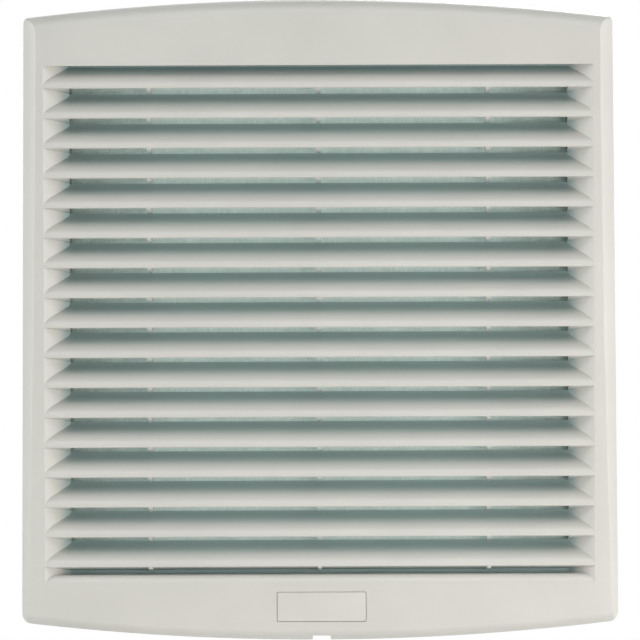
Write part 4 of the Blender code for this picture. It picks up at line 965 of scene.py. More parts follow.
def round_corners(piece, way, radius, segments=5):
    """Bevel the edges that run along one axis."""
    only(piece)
    bpy.ops.object.mode_set(mode="EDIT")
    bpy.ops.mesh.select_mode(type="EDGE")
    bpy.ops.mesh.select_all(action="DESELECT")
    bpy.ops.object.mode_set(mode="OBJECT")
    for edge in piece.data.edges:
        first, second = (piece.data.vertices[i].co for i in edge.vertices)
        along = second - first
        if along.length > 0 and abs(along[way]) > 0.99 * along.length:
            edge.select = True
    bpy.ops.object.mode_set(mode="EDIT")
    bpy.ops.mesh.bevel(offset=radius, offset_type="OFFSET", segments=segments, affect="EDGES")
    bpy.ops.mesh.select_mode(type="VERT")
    bpy.ops.object.mode_set(mode="OBJECT")
    return piece


def badge_form(name, grow, front, rear, corner):
    """A rounded plate over the badge field, leaning with the face."""
    low = (-BADGE_WIDTH / 2 - grow, front, -BADGE_HEIGHT / 2 - grow)
    high = (BADGE_WIDTH / 2 + grow, rear, BADGE_HEIGHT / 2 + grow)
    form = round_corners(add_box(name, low, high), 1, corner)
    form.location = (BADGE_X, face_y(BADGE_Z), BADGE_Z)
    form.rotation_euler = (math.atan(2 * BEND * (CREST_Z - BADGE_Z)), 0, 0)
    only(form)
    bpy.ops.object.transform_apply(location=True, rotation=True, scale=True)
    return form


cheeks = []
for side in (-1, 1):
    for offset in (-1, 1):
        near = side * HINGE_X + offset * (ARM_WIDTH / 2 + 0.0003)
        far = near + offset * CHEEK_WIDTH
        low = (min(near, far), HINGE_Y - KNUCKLE, HINGE_Z - KNUCKLE)
        high = (max(near, far), HINGE_Y + KNUCKLE, edge_z(HINGE_X) - WALL + 0.0008)
        cheeks.append(add_box("cheek", low, high))
weld(cover, join_into(cheeks, "cheeks"))
pin_holes = []
for side in (-1, 1):
    reach = ARM_WIDTH / 2 + CHEEK_WIDTH + 0.001
    start = (side * HINGE_X - reach, HINGE_Y, HINGE_Z)
    pin_holes.append(rod("pin_hole", start, (side * HINGE_X + reach, HINGE_Y, HINGE_Z), 0.0013, 24))
cut(cover, join_into(pin_holes, "pin_holes"))
catch_floor = -HEIGHT / 2 + WALL
low = (BADGE_X - 0.005, -0.0063, catch_floor - 0.0008)
weld(cover, add_box("catch", low, (BADGE_X + 0.005, -0.0045, catch_floor + 0.00055)))
low = (BADGE_X - NOTCH_WIDTH / 2, FRONT_Y - 0.002, -HEIGHT / 2 - 0.002)
notch = add_box("notch", low, (BADGE_X + NOTCH_WIDTH / 2, REAR_Y + 0.002, -HEIGHT / 2 + NOTCH_DEEP))
cut(cover, badge_form("badge_field", 0.0, -0.003, BADGE_DEPTH, 0.0008), notch)
smooth(cover, 30.0)
place_on(cover, "cover", "cover_plastic", cover_finish, "front_cover")

# %% [markdown]
# ## The badge plate
#
# The plate is a thin tile with rounded corners and a fine bevel around its front edge. It
# stays bare: its finish is a little smoother than the cover, so it still reads as a piece of
# its own. The gap around it is a third of a millimetre, which the camera sees as a thin line.

# %% Badge plate
badge = badge_form("blank_badge", -0.0002, 0.0001, BADGE_DEPTH - 0.0003, 0.0006)
finish_with(badge, "BEVEL", width=0.00018, segments=3, limit_method="ANGLE", angle_limit=math.radians(40))
smooth(badge)
place_on(badge, "cover", "plate_plastic", plate_finish, "badge_plate")

# %% [markdown]
# ## The filter mat
#
# The mat is a pad of crimped fibres, about as thick as a finger. Its surface is not flat: tufts
# stand a few tenths of a millimetre out, and the tone is mottled in grey-green. A finely
# divided slab with a small displacement gives the tufts. The fibres themselves are drawn by a
# noise that is stretched along three directions, because modelling each of them would take
# millions of faces. The photograph shows the mat lighter in the middle than at the sides.
# Light that comes through it from the fan's side is the guess made here for the cause. A faint
# glow of the mat stands for it, and it would be wrong in a scene with other light.

# %% Filter mat
MIDDLE_GLOW = (0.80, 0.96, 0.90, 1.0)
SIDE_GLOW = (0.20, 0.26, 0.24, 1.0)
GLOW_FADES = (0.062, 0.096)
MAT_GLOW = 0.22


def fibre_finish():
    """Crimped grey-green fibres: stretched noise in three directions over a mottled tone."""
    finish, shader = start_finish("filter_fibres", colour(150, 164, 158), 0.95)
    nodes = finish.node_tree.nodes
    links = finish.node_tree.links
    strands = None
    for stretch in ((1.0, 1.0, 9.0), (9.0, 1.0, 1.0), (3.0, 6.0, 1.5)):
        layer = add_noise(finish, 260.0, 4.0, stretch)
        if strands is None:
            strands = layer
            continue
        strands = math_step(finish, "MAXIMUM", strands, layer)
    cloudy = spread(finish, add_noise(finish, 150.0, 3.0), 0.75, 1.15)
    mottle = math_step(finish, "MULTIPLY", strands, cloudy)
    tone = blend_tones(finish, mottle, colour(177, 191, 185), colour(211, 220, 216), 0.38, 0.78)
    links.new(tone, shader.inputs["Base Color"])
    place = nodes.new("ShaderNodeTexCoord")
    axes = nodes.new("ShaderNodeSeparateXYZ")
    links.new(place.outputs["Object"], axes.inputs[0])
    aside = math_step(finish, "ABSOLUTE", axes.outputs["X"])
    glow = blend_tones(finish, aside, MIDDLE_GLOW, SIDE_GLOW, *GLOW_FADES)
    links.new(glow, shader.inputs["Emission Color"])
    shader.inputs["Emission Strength"].default_value = MAT_GLOW
    add_bump(finish, shader, strands, 0.0006)
    return finish


mat_low, mat_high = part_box("filter_mat")
mat = add_box("fibre_mat", [v + 0.0002 for v in mat_low], [v - 0.0002 for v in mat_high])
only(mat)
bpy.ops.object.mode_set(mode="EDIT")
bpy.ops.mesh.select_all(action="SELECT")
bpy.ops.mesh.bevel(offset=0.0012, segments=2, affect="EDGES")
bpy.ops.object.mode_set(mode="OBJECT")
finish_with(mat, "REMESH", mode="VOXEL", voxel_size=0.0016, use_smooth_shade=True)
tufts = bpy.data.textures.new("tufts", "CLOUDS")
tufts.noise_scale = 0.004
tufts.noise_depth = 2
finish_with(mat, "DISPLACE", texture=tufts, strength=0.0009, mid_level=0.62, texture_coords="LOCAL")
smooth(mat, 180.0)
place_on(mat, "frame", "filter_fibre", fibre_finish(), "filter_mat")

# %% [markdown]
# ## Pieces that start from the measured shape
#
# The frame, the grid, the cowl and a few small parts are plain mouldings. Their measured shape
# is right, but its edges are knife sharp, and a moulded or punched edge never is: a tight
# radius catches a line of light. So each of them starts as a copy of the measured mesh. Its
# loose triangles are merged, the flats are freed from their diagonals, and a small bevel
# rounds the edges. Weighted normals keep the flats flat beside those narrow bevels.

# %% Rounded copies of measured shapes
def body_of(node):
    return frame["nodes"][node].parent.name.split(":")[1]


def rounded_copy(node, name, radius, segments=2):
    """A copy of a measured piece with merged points, clean flats and rounded edges."""
    piece = bpy.data.objects.new(name, frame["nodes"][node].data.copy())
    bpy.context.scene.collection.objects.link(piece)
    only(piece)
    bpy.ops.mesh.customdata_custom_splitnormals_clear()
    bpy.ops.object.mode_set(mode="EDIT")
    bpy.ops.mesh.select_all(action="SELECT")
    bpy.ops.mesh.remove_doubles(threshold=0.000001)
    bpy.ops.mesh.dissolve_limited(angle_limit=math.radians(0.5))
    bpy.ops.object.mode_set(mode="OBJECT")
    finish_with(
        piece,
        "BEVEL",
        width=radius,
        segments=segments,
        limit_method="ANGLE",
        angle_limit=math.radians(32),
        use_clamp_overlap=False,
    )
    smooth(piece, 40.0)
    finish_with(piece, "WEIGHTED_NORMAL", keep_sharp=True, weight=80)
    return piece


ROUNDED = [
    ("base_frame", "mounting_frame", "frame_plastic", frame_finish, 0.0004),
    ("filter_grid", "mat_grid", "frame_plastic", frame_finish, 0.0003),
    ("fan_cowl", "cowl_funnel", "frame_plastic", frame_finish, 0.0007),
    ("panel_gasket", "wall_gasket", "gasket_foam", foam_finish, 0.0004),
    ("terminal_block", "connection_block", "block_plastic", block_finish, 0.0003),
    ("lead_grommet", "rubber_grommet", "grommet_rubber", rubber_finish, 0.0003),
    ("earth_tag", "brass_tag", "tag_brass", brass_finish, 0.00015),
]
for number in (1, 2, 3, 4):
    ROUNDED.append(("panel_clip_%d" % number, "spring_claw_%d" % number, "clip_plastic", clip_finish, 0.0004))
for node, name, slot, finish, radius in ROUNDED:
    place_on(rounded_copy(node, name, radius), body_of(node), slot, finish, node)

# %% [markdown]
# ## The finger guard
#
# The guard is made of steel wire: five rings lie on four arms and are spot welded to them, and
# the end of each arm is bent to an eye for a bolt. Rings and eyes are tori, because a wire has
# the same thickness all along, and the arms are rods with rounded ends.

# %% Finger guard
BOLT_SIDE = 0.0572756
guard_low, guard_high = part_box("finger_guard")
ARM_WIRE = 0.0013
RING_WIRE = 0.0011
EYE_WIRE = 0.0010
EYE_RADIUS = 0.0038
ARM_Y = guard_low[1] + ARM_WIRE + 0.0001
RING_Y = ARM_Y + ARM_WIRE
ARM_ENDS = (0.0135, 0.0764)
CORNERS = [(-1, 1), (1, 1), (1, -1), (-1, -1)]


def wire_ring(name, radius, wire, place, sides=96):
    """A ring of round wire around an axis that points to the rear."""
    bpy.ops.object.select_all(action="DESELECT")
    bpy.ops.mesh.primitive_torus_add(
        major_radius=radius,
        minor_radius=wire,
        major_segments=sides,
        minor_segments=14,
        location=place,
        rotation=(math.radians(90), 0, 0),
    )
    piece = bpy.context.object
    piece.name = name
    bpy.ops.object.transform_apply(location=True, rotation=True, scale=True)
    return piece


wires = []
for i in range(5):
    wires.append(wire_ring("guard_ring", 0.015 + i * 0.013875, RING_WIRE, (0, RING_Y, 0), 120))
for side, up in CORNERS:
    way = Vector((side, 0, up)) * math.sqrt(0.5)
    level = Vector((0, ARM_Y, 0))
    arm = rod("guard_arm", way * ARM_ENDS[0] + level, way * ARM_ENDS[1] + level, ARM_WIRE, 20)
    finish_with(arm, "BEVEL", width=0.0006, segments=4, limit_method="ANGLE", angle_limit=math.radians(60))
    wires.append(arm)
    eye_place = (side * BOLT_SIDE, guard_low[1] + EYE_WIRE, up * BOLT_SIDE)
    wires.append(wire_ring("guard_eye", EYE_RADIUS, EYE_WIRE, eye_place, 40))
guard = smooth(join_into(wires, "wire_guard"), 50.0)
place_on(guard, "frame", "guard_wire", wire_finish, "finger_guard")

# %% [markdown]
# ## Turned pieces
#
# Hubs, bearings, bolts and screws are round, so half of their section is drawn once and spun
# around an axis. Small chamfers are drawn into the section.

# %% Spinning a section, and copies of a piece
def spun(name, profile, sides=96):
    """Draw half a section as (radius, y) points and spin it around the fan's axis."""
    piece = draw_outline(name, [(radius, y, 0.0) for radius, y in profile], face=False)
    bpy.ops.object.mode_set(mode="EDIT")
    bpy.ops.mesh.select_all(action="SELECT")
    bpy.ops.mesh.spin(steps=sides, angle=math.tau, center=(0, 0, 0), axis=(0, 1, 0))
    bpy.ops.mesh.select_all(action="SELECT")
    bpy.ops.mesh.remove_doubles(threshold=0.000002)
    bpy.ops.mesh.normals_make_consistent(inside=False)
    bpy.ops.object.mode_set(mode="OBJECT")
    return piece


def moved(piece, shift):
    only(piece)
    bpy.ops.transform.translate(value=shift)
    bpy.ops.object.transform_apply(location=True, rotation=True, scale=True)
    return piece


def twin(piece, name, shift):
    """A copy with its own mesh, at another place."""
    only(piece)
    bpy.ops.object.duplicate(linked=False)
    bpy.context.object.name = name
    return moved(bpy.context.object, shift)


# %% [markdown]
# ## The impeller
#
# Seven blades stand on a hub that is pressed on the motor's cup. A blade is a twisted, slightly
# bowed sheet: a grid is added, each of its points is turned around the axis by its share of the
# twist, and Solidify gives it its thickness. A bevel rounds the rim. It is modelled once and
# spun around to the other six places, and then welded to the hub.

# %% Impeller
HUB_FRONT = 0.0483
HUB_REAR = 0.0811
HUB_RADIUS = 0.0333
BLADE_ROOT = 0.0323
BLADE_END = 0.0710
BLADE_MIDDLE = 0.0666
IMPELLER_BLADES = 7


def impeller_blades():
    """All the blades, as one object."""
    columns = 14
    rows = 10
    bpy.ops.object.select_all(action="DESELECT")
    bpy.ops.mesh.primitive_grid_add(x_subdivisions=columns, y_subdivisions=rows, size=1.0)
    blades = bpy.context.object
    for vert in blades.data.vertices:
        share = vert.co.x + 0.5
        along = vert.co.y
        radius = BLADE_ROOT + (BLADE_END - BLADE_ROOT) * share
        turn = (0.62 - 0.16 * share) * along + 0.20 * share
        bow = 0.0015 * (1 - 4 * along**2)
        vert.co = (radius * math.cos(turn), BLADE_MIDDLE + 0.025 * along + bow, radius * math.sin(turn))
    finish_with(blades, "SOLIDIFY", thickness=0.0021, offset=0.0)
    finish_with(blades, "BEVEL", width=0.0008, segments=3, limit_method="ANGLE", angle_limit=math.radians(50))
    bpy.ops.object.mode_set(mode="EDIT")
    bpy.ops.mesh.select_all(action="SELECT")
    bpy.ops.mesh.normals_make_consistent(inside=False)
    rest = IMPELLER_BLADES - 1
    bpy.ops.mesh.spin(
        steps=rest, dupli=True, angle=math.tau * rest / IMPELLER_BLADES, center=(0, 0, 0), axis=(0, 1, 0)
    )
    bpy.ops.object.mode_set(mode="OBJECT")
    return blades


impeller = spun(
    "impeller_hub",
    [
        (HUB_RADIUS, HUB_REAR),
        (HUB_RADIUS, HUB_FRONT + 0.0012),
        (HUB_RADIUS - 0.0002, HUB_FRONT + 0.0006),
        (HUB_RADIUS - 0.0006, HUB_FRONT + 0.0002),
        (HUB_RADIUS - 0.0012, HUB_FRONT),
        (0.0260, HUB_FRONT),
        (0.0257, HUB_FRONT + 0.0003),
        (0.0255, HUB_FRONT + 0.0005),
        (0.0120, HUB_FRONT + 0.0005),
        (0.0115, HUB_FRONT),
        (0.0063, HUB_FRONT),
        (0.0060, HUB_FRONT + 0.0003),
        (0.0060, HUB_FRONT + 0.0015),
        (0.0313, HUB_FRONT + 0.0015),
        (0.0313, HUB_REAR),
        (HUB_RADIUS, HUB_REAR),
    ],
)
weld(impeller, impeller_blades())
smooth(impeller, 35.0)
place_on(impeller, "rotor", "impeller_plastic", impeller_finish, "impeller")

# %% [markdown]
# ## The fan housing
#
# The housing is one die casting: two flanges with a flat at each side, the tube between them,
# and four spokes that carry the motor's seat. It is built as it would be on a lathe and a mill:
# round discs are sliced at the flats, the tube and the seat are welded on, and the bores are
# cut. The mouths of the bore are flared a little, which keeps the air from tearing off.

# %% Fan housing
housing_low, housing_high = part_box("fan_housing")
FAN_FRONT = housing_low[1]
FAN_REAR = housing_high[1]
FAN_BORE = 0.0725
FLATS = housing_high[0]
SEAT_FRONT = FAN_REAR - 0.004


def flange(name, front, rear):
    """A flange disc with a flat at each side."""
    disc = rod(name, (0, front, 0), (0, rear, 0), housing_high[2], 128)
    for side in (-1, 1):
        slice_off(disc, (side * FLATS, 0, 0), (side, 0, 0))
    return disc


housing = rod("cast_housing", (0, FAN_FRONT + 0.001, 0), (0, FAN_REAR - 0.001, 0), FAN_BORE + 0.0023, 128)
FLANGE_THICK = 0.004
front_flange = flange("front_flange", FAN_FRONT, FAN_FRONT + FLANGE_THICK)
rear_flange = flange("rear_flange", FAN_REAR - FLANGE_THICK, FAN_REAR)
weld(housing, front_flange, rear_flange)
mouth = []
for y, way in ((FAN_FRONT, 1), (FAN_REAR, -1)):
    line = [(FAN_BORE + 0.0014, y - way * 0.001)]
    for degrees in (0, 30, 60, 90):
        turn = math.radians(degrees)
        line.append((FAN_BORE + 0.0014 * (1 - math.sin(turn)), y + way * 0.0014 * (1 - math.cos(turn))))
    mouth.append(line)
bore = [(0.0, FAN_FRONT - 0.001)] + mouth[0] + mouth[1][::-1] + [(0.0, FAN_REAR + 0.001)]
cut(housing, spun("flared_bore", bore, 128))
seat = rod("motor_seat", (0, SEAT_FRONT, 0), (0, FAN_REAR, 0), 0.033, 96)
reach = FAN_BORE + 0.0012
spoke_low = SEAT_FRONT + 0.0005
spoke_high = FAN_REAR - 0.0005
weld(seat, rod("bearing_tube", (0, SEAT_FRONT - 0.024, 0), (0, FAN_REAR - 0.001, 0), 0.0108, 64))
weld(seat, add_box("spokes_across", (-reach, spoke_low, -0.0035), (reach, spoke_high, 0.0035)))
weld(seat, add_box("spokes_up", (-0.0035, spoke_low, -reach), (0.0035, spoke_high, reach)))
field = [(0.0125, FAN_REAR - 0.0006), (0.0295, FAN_REAR - 0.0006), (0.0295, FAN_REAR + 0.001)]
field += [(0.0125, FAN_REAR + 0.001), (0.0125, FAN_REAR - 0.0006)]
cut(seat, spun("label_field", field))
cut(seat, rod("bearing_bore", (0, SEAT_FRONT - 0.025, 0), (0, FAN_REAR + 0.001, 0), 0.0080, 64))
weld(housing, seat)
drills = []
for side, up in CORNERS:
    start = (side * BOLT_SIDE, FAN_FRONT - 0.001, up * BOLT_SIDE)
    drills.append(rod("bolt_hole", start, (start[0], FAN_REAR + 0.001, start[2]), 0.0023, 32))
lead_y = FAN_FRONT + 0.051 * 0.62
drills.append(rod("lead_hole", (0.020, lead_y, -0.0497), (0.020, lead_y, -0.0797), 0.0040, 32))
earth_hole_front = (-0.012, FAN_FRONT - 0.002, -0.080)
earth_hole_rear = (-0.012, FAN_FRONT + 0.006, -0.080)
drills.append(rod("earth_hole", earth_hole_front, earth_hole_rear, 0.0018, 24))
cut(housing, join_into(drills, "drills"))
finish_with(
    housing,
    "BEVEL",
    width=0.0004,
    segments=2,
    limit_method="ANGLE",
    angle_limit=math.radians(32),
    use_clamp_overlap=False,
)
smooth(housing, 40.0)
finish_with(housing, "WEIGHTED_NORMAL", keep_sharp=True, weight=80)
place_on(housing, "frame", "housing_casting", casting_finish, "fan_housing")

# %% [markdown]
# ## The motor
#
# The motor is built around the bearing tube: two shielded ball bearings, the shaft with its
# circlip, the stack of stator sheets between two copper windings, and the steel cup that turns
# around them. Only the rear bearing and the end of the shaft can be seen from outside.

# %% Bearings, shaft and circlip
def shielded_bearing(node, name):
    """A ball bearing: an outer ring, a set-back shield and an inner ring."""
    low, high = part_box(node)
    inner = 0.0033
    outer = high[0]
    front, rear = low[1], high[1]
    half = [(outer - 0.0003, rear), (outer - 0.0011, rear), (outer - 0.0012, rear - 0.0004)]
    half += [(inner + 0.0013, rear - 0.0004), (inner + 0.0012, rear), (inner + 0.0002, rear)]
    section = [(outer, front + 0.0003), (outer, rear - 0.0003)] + half
    section += [(inner, rear - 0.0002), (inner, front + 0.0002)]
    section += [(radius, front + rear - y) for radius, y in half[::-1]] + [(outer, front + 0.0003)]
    piece = smooth(spun(name, section, 72), 30.0)
    place_on(piece, "frame", "bearing_steel", bearing_finish, node)


shielded_bearing("bearing_front", "front_bearing")
shielded_bearing("bearing_rear", "rear_bearing")
shaft_low, shaft_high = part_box("motor_shaft")
clip_low, clip_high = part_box("shaft_circlip")
groove = (clip_low[1] - 0.0003, clip_high[1] + 0.0003)
shaft_line = [(0.0, shaft_high[1]), (0.0025, shaft_high[1]), (0.0030, shaft_high[1] - 0.0005)]
shaft_line += [(0.0030, groove[1]), (0.0024, groove[1]), (0.0024, groove[0]), (0.0030, groove[0])]
shaft_line += [(0.0030, shaft_low[1] + 0.0004), (0.0026, shaft_low[1]), (0.0, shaft_low[1])]
shaft = smooth(spun("steel_shaft", shaft_line, 48), 30.0)
place_on(shaft, body_of("motor_shaft"), "pin_steel", bearing_finish, "motor_shaft")
circlip = spun(
    "open_circlip",
    [
        (0.0027, clip_low[1]),
        (clip_high[0], clip_low[1]),
        (clip_high[0], clip_high[1]),
        (0.0027, clip_high[1]),
        (0.0027, clip_low[1]),
    ],
    64,
)
cut(circlip, add_box("clip_gap", (-0.0011, clip_low[1] - 0.001, 0.0), (0.0011, clip_high[1] + 0.001, 0.008)))
finish_with(circlip, "BEVEL", width=0.00012, segments=2, limit_method="ANGLE", angle_limit=math.radians(40))
smooth(circlip, 40.0)
place_on(circlip, body_of("shaft_circlip"), "pin_steel", pin_finish, "shaft_circlip")

# %% [markdown]
# ## Stator, windings and rotor cup
#
# The stator is a stack of thin sheets with twelve slots for the copper. Most of it hides in the
# cup, so round drills cut the slots and each winding is one smooth ring. The lines of the
# sheets come from the finish, which is stretched flat along them.

# %% Stator, windings and rotor cup
stator_low, stator_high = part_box("stator_core")
core = spun(
    "stator_stack",
    [
        (0.0111, stator_low[1]),
        (stator_high[0], stator_low[1]),
        (stator_high[0], stator_high[1]),
        (0.0111, stator_high[1]),
        (0.0111, stator_low[1]),
    ],
    96,
)
slots = []
for i in range(12):
    turn = math.tau * (i + 0.5) / 12
    way = Vector((math.cos(turn), 0, math.sin(turn)))
    front_end = way * 0.0215 + Vector((0, stator_low[1] - 0.001, 0))
    slots.append(rod("slot", front_end, front_end + Vector((0, 0.018, 0)), 0.0022, 20))
cut(core, join_into(slots, "slots"))
place_on(smooth(core, 30.0), "frame", "stator_steel", stator_finish, "stator_core")
for node, name in (("winding_front", "front_winding"), ("winding_rear", "rear_winding")):
    low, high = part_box(node)
    middle = (low[1] + high[1]) / 2
    thick = (high[1] - low[1]) / 2
    coil_out = high[0]
    coil_in = 2 * 0.0186 - coil_out
    section = []
    for step in range(25):
        turn = math.tau * step / 24
        radius = (coil_in + coil_out) / 2 + (coil_out - coil_in) / 2 * math.cos(turn)
        section.append((radius, middle + 0.97 * thick * math.sin(turn)))
    place_on(smooth(spun(name, section, 72), 60.0), "frame", "winding_copper", copper_finish, node)
cup_low, cup_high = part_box("rotor_cup")
cup_radius = cup_high[0]
cup_front = cup_low[1]
cup = spun(
    "steel_cup",
    [
        (cup_radius, cup_high[1]),
        (cup_radius, cup_front + 0.0012),
        (cup_radius - 0.0004, cup_front + 0.0004),
        (cup_radius - 0.0012, cup_front),
        (0.0033, cup_front),
        (0.0033, cup_front + 0.0026),
        (0.0065, cup_front + 0.0026),
        (0.0065, cup_front + 0.0018),
        (cup_radius - 0.0018, cup_front + 0.0018),
        (cup_radius - 0.0018, cup_high[1]),
        (cup_radius, cup_high[1]),
    ],
)
place_on(smooth(cup, 30.0), "rotor", "rotor_steel", cup_finish, "rotor_cup")

# %% [markdown]
# ## Bolts, nuts, screws and pins
#
# Each fastener is turned once and then copied to its other places. The pan heads of the cowl
# and earth screws get a cross recess, cut by two thin boxes.

# %% Screws with a cross recess
def pan_head_screw(name, under_head, end, radius, head_radius, head_thick):
    """A screw on the fan's axis with its head to the rear."""
    top = under_head + head_thick
    screw = spun(
        name,
        [
            (0.0, end),
            (radius * 0.55, end),
            (radius, end + radius * 0.9),
            (radius, under_head),
            (head_radius, under_head),
            (head_radius, under_head + head_thick * 0.5),
            (head_radius * 0.92, under_head + head_thick * 0.76),
            (head_radius * 0.72, under_head + head_thick * 0.94),
            (head_radius * 0.45, top),
            (0.0, top),
        ],
        48,
    )
    arm = head_radius * 0.56
    slot = head_radius * 0.11
    deep = top - head_thick * 0.5
    cut(screw, add_box("recess", (-arm, deep, -slot), (arm, top + 0.001, slot)))
    cut(screw, add_box("recess", (-slot, deep, -arm), (slot, top + 0.001, arm)))
    return smooth(screw, 30.0)


screw_low, screw_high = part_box("cowl_screw_1")
screw = pan_head_screw("cowl_screw", screw_high[1] - 0.0020, screw_low[1], 0.0016, 0.0030, 0.0020)
POST = (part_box("cowl_screw_2")[0][0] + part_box("cowl_screw_2")[1][0]) / 2
for number, (side, up) in enumerate(CORNERS, 1):
    copy = twin(screw, "cowl_fixing_%d" % number, (side * POST, 0, up * POST))
    place_on(copy, "frame", "screw_steel", screw_finish, "cowl_screw_%d" % number)
bpy.data.objects.remove(screw, do_unlink=True)
earth_low, earth_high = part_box("earth_screw")
earth = pan_head_screw("earth_fixing", earth_high[1] - 0.0018, earth_low[1], 0.0015, 0.0027, 0.0018)
moved(earth, ((earth_low[0] + earth_high[0]) / 2, 0, (earth_low[2] + earth_high[2]) / 2))
place_on(earth, "frame", "screw_steel", screw_finish, "earth_screw")

# %% [markdown]
# ## Bolts and nuts of the fan
#
# A nut is a six-sided bar whose corners are turned off at both ends, so it is the common part
# of a prism and a barrel. The thread of the long bolts is far too fine to model. Fine rings in
# the finish stand for it, drawn by a Wave texture along the fan's axis: a bump, and painted shade
# that darkens the grooves between the rings.

# %% Bolts and nuts of the fan
def threaded_steel():
    """Zinc-plated steel with the fine rings of a thread along the fan's axis, and painted shade in its
    grooves.
    """
    finish, shader = start_finish("threaded_steel", colour(190, 192, 194), 0.30, 1.0)
    nodes = finish.node_tree.nodes
    links = finish.node_tree.links
    place = nodes.new("ShaderNodeTexCoord")
    rings = nodes.new("ShaderNodeTexWave")
    rings.bands_direction = "Y"
    rings.inputs["Scale"].default_value = 450.0
    links.new(place.outputs["Object"], rings.inputs["Vector"])
    # Painted shade: the low parts of the rings, the grooves of the thread, are darker.
    tone = blend_tones(finish, rings.outputs["Fac"], colour(128, 130, 132), colour(204, 206, 208), 0.2, 0.8)
    links.new(tone, shader.inputs["Base Color"])
    add_bump(finish, shader, rings.outputs["Fac"], 0.0002)
    return finish


bolt_low, bolt_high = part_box("fan_bolt_1")
nut_low, nut_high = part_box("fan_nut_1")
thread_finish = threaded_steel()
bolt_end = bolt_high[1]
bolt_head = bolt_low[1]
bolt = spun(
    "fan_bolt",
    [
        (0.0, bolt_end),
        (0.0015, bolt_end),
        (0.0020, bolt_end - 0.0004),
        (0.0020, bolt_head + 0.0024),
        (0.0037, bolt_head + 0.0024),
        (0.0037, bolt_head + 0.0006),
        (0.0030, bolt_head),
        (0.0, bolt_head),
    ],
    40,
)
smooth(bolt, 30.0)
nut = rod("fan_nut", (0, nut_low[1], 0), (0, nut_high[1], 0), 0.0040, 6)
barrel = spun(
    "barrel",
    [
        (0.0, nut_low[1]),
        (0.0035, nut_low[1]),
        (0.0041, nut_low[1] + 0.0004),
        (0.0041, nut_high[1] - 0.0004),
        (0.0035, nut_high[1]),
        (0.0, nut_high[1]),
    ],
    48,
)
combine(nut, barrel, "INTERSECT")
cut(nut, rod("nut_bore", (0, nut_low[1] - 0.001, 0), (0, nut_high[1] + 0.001, 0), 0.0023, 32))
smooth(nut, 20.0)
for number, (side, up) in enumerate(CORNERS, 1):
    shift = (side * BOLT_SIDE, 0, up * BOLT_SIDE)
    copy = twin(bolt, "through_bolt_%d" % number, shift)
    place_on(copy, "frame", "screw_steel", thread_finish, "fan_bolt_%d" % number)
    copy = twin(nut, "hex_nut_%d" % number, shift)
    place_on(copy, "frame", "screw_steel", screw_finish, "fan_nut_%d" % number)
bpy.data.objects.remove(bolt, do_unlink=True)
bpy.data.objects.remove(nut, do_unlink=True)

# %% [markdown]
# ## Clamp screws and pins
#
# The block's clamp screws are slotted studs. The hinge and claw pins are plain dowels with
# bevelled ends. The boxes of the measured pins say where they lie and how long they are.

# %% Clamp screws and pins
for number in (1, 2, 3):
    node = "terminal_screw_%d" % number
    low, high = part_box(node)
    x = (low[0] + high[0]) / 2
    y = (low[1] + high[1]) / 2
    clamp = rod("clamp_screw_%d" % number, (x, y, low[2]), (x, y, high[2]), 0.0021, 32)
    slot_low = (x - 0.003, y - 0.0003, high[2] - 0.0009)
    slot_high = (x + 0.003, y + 0.0003, high[2] + 0.001)
    cut(clamp, add_box("slot", slot_low, slot_high))
    finish_with(clamp, "BEVEL", width=0.00015, segments=2, limit_method="ANGLE", angle_limit=math.radians(40))
    place_on(smooth(clamp, 40.0), "frame", "screw_steel", screw_finish, node)
PINS = [("cover_hinge_pin_left", 0), ("cover_hinge_pin_right", 0)]
PINS += [("panel_clip_pin_%d" % number, 2) for number in (1, 2, 3, 4)]
for node, way in PINS:
    low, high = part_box(node)
    start = [(a + b) / 2 for a, b in zip(low, high)]
    end = list(start)
    start[way] = low[way]
    end[way] = high[way]
    pin = rod(node.replace("pin", "dowel"), start, end, 0.0010, 32)
    finish_with(pin, "BEVEL", width=0.0003, segments=2, limit_method="ANGLE", angle_limit=math.radians(40))
    place_on(smooth(pin, 40.0), body_of(node), "pin_steel", pin_finish, node)

# %% [markdown]
# ## The leads
#
# A lead is a round wire in a coloured sleeve, led from the motor's grommet to the block in a
# slack bow. Its line goes smoothly through a few points. The line is drawn as an outline,
# turned into a curve, given a round section and turned back into a mesh. The earth lead is
# green with a yellow stripe.

# %% Leads
def striped_sleeve():
    """Green insulation with a yellow stripe that winds around it."""
    finish, shader = start_finish("lead_green", colour(46, 140, 66), 0.38)
    nodes = finish.node_tree.nodes
    links = finish.node_tree.links
    place = nodes.new("ShaderNodeTexCoord")
    stripe = nodes.new("ShaderNodeTexWave")
    stripe.bands_direction = "DIAGONAL"
    stripe.inputs["Scale"].default_value = 90.0
    links.new(place.outputs["Object"], stripe.inputs["Vector"])
    tone = blend_tones(finish, stripe.outputs["Fac"], colour(46, 140, 66), colour(226, 206, 62), 0.55, 0.62)
    links.new(tone, shader.inputs["Base Color"])
    add_bump(finish, shader, add_noise(finish, 900.0, 2.0), 0.00001)
    return finish


def smooth_route(points, steps):
    """Points on a smooth line through the given points."""
    points = [Vector(point) for point in points]
    ends = [2 * points[0] - points[1]] + points + [2 * points[-1] - points[-2]]
    route = []
    for a, b, c, d in zip(ends, ends[1:], ends[2:], ends[3:]):
        for i in range(steps):
            t = i / steps
            bend = 2 * a - 5 * b + 4 * c - d
            twist = 3 * b - a - 3 * c + d
            route.append(0.5 * (2 * b + (c - a) * t + bend * t**2 + twist * t**3))
    return route + [points[-1]]


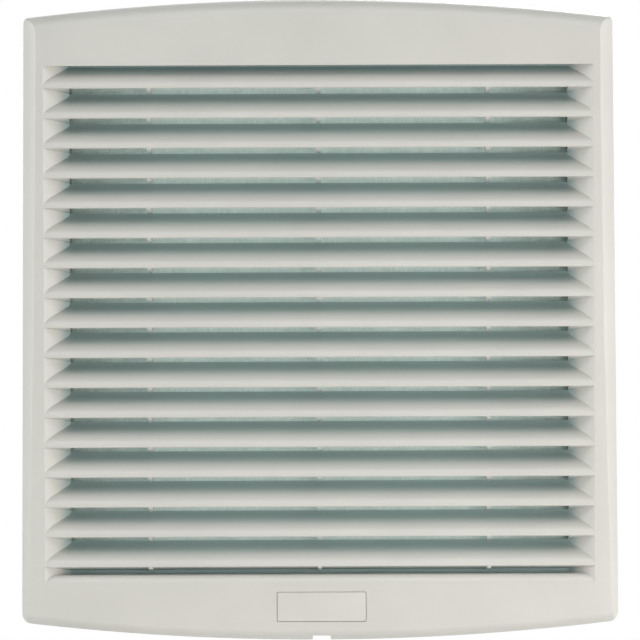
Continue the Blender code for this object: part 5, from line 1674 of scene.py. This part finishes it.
def lead(node, name, points, slot, finish):
    piece = draw_outline(name, smooth_route(points, 8), face=False)
    bpy.ops.object.convert(target="CURVE")
    piece = bpy.context.object
    piece.data.bevel_depth = 0.00108
    piece.data.bevel_resolution = 4
    piece.data.use_fill_caps = True
    bpy.ops.object.convert(target="MESH")
    piece = bpy.context.object
    clean_up(piece, 0.000001)
    place_on(smooth(piece, 50.0), "frame", slot, finish, node)


BLOCK_HIGH_Y = 0.0391
LEAD_Z = -0.1047
LOWEST = -0.0748
ENTRY_Y = BLOCK_HIGH_Y - 0.003
for node, name, x, end_x, slot, finish in (
    ("lead_live", "brown_lead", 0.0183, 0.020, "lead_brown", brown_finish),
    ("lead_neutral", "blue_lead", 0.0217, 0.030, "lead_blue", blue_finish),
):
    route = [
        (x, lead_y, LOWEST + 0.0035),
        (x, lead_y, LOWEST),
        (x, lead_y, LOWEST - 0.0035),
        (x, lead_y, LOWEST - 0.0070),
        (x * 0.6 + end_x * 0.4, lead_y - 0.0035, LOWEST - 0.0185),
        (end_x, (lead_y + ENTRY_Y) / 2 + 0.002, LEAD_Z + 0.0012),
        (end_x, BLOCK_HIGH_Y + 0.004, LEAD_Z),
        (end_x, BLOCK_HIGH_Y + 0.0005, LEAD_Z),
        (end_x, ENTRY_Y, LEAD_Z),
    ]
    lead(node, name, route, slot, finish)
tag_y = FAN_FRONT + 0.004 + 0.0003
tag_end = Vector((-0.012, tag_y + 0.0008 + 0.0003 + 0.0011, -0.0855))
route = [
    tag_end,
    tag_end + Vector((0.0005, 0.0008, -0.0060)),
    (0.0, tag_y + 0.010, LEAD_Z + 0.0035),
    (0.004, BLOCK_HIGH_Y + 0.0085, LEAD_Z + 0.0005),
    (0.010, BLOCK_HIGH_Y + 0.004, LEAD_Z),
    (0.010, BLOCK_HIGH_Y + 0.0005, LEAD_Z),
    (0.010, ENTRY_Y, LEAD_Z),
]
lead("lead_earth", "earth_lead", route, "lead_green", striped_sleeve())

# %% [markdown]
# ## Picture settings
#
# The plain view transform shows a colour as it is written.

# %% Finish
bpy.context.scene.view_settings.view_transform = "Standard"
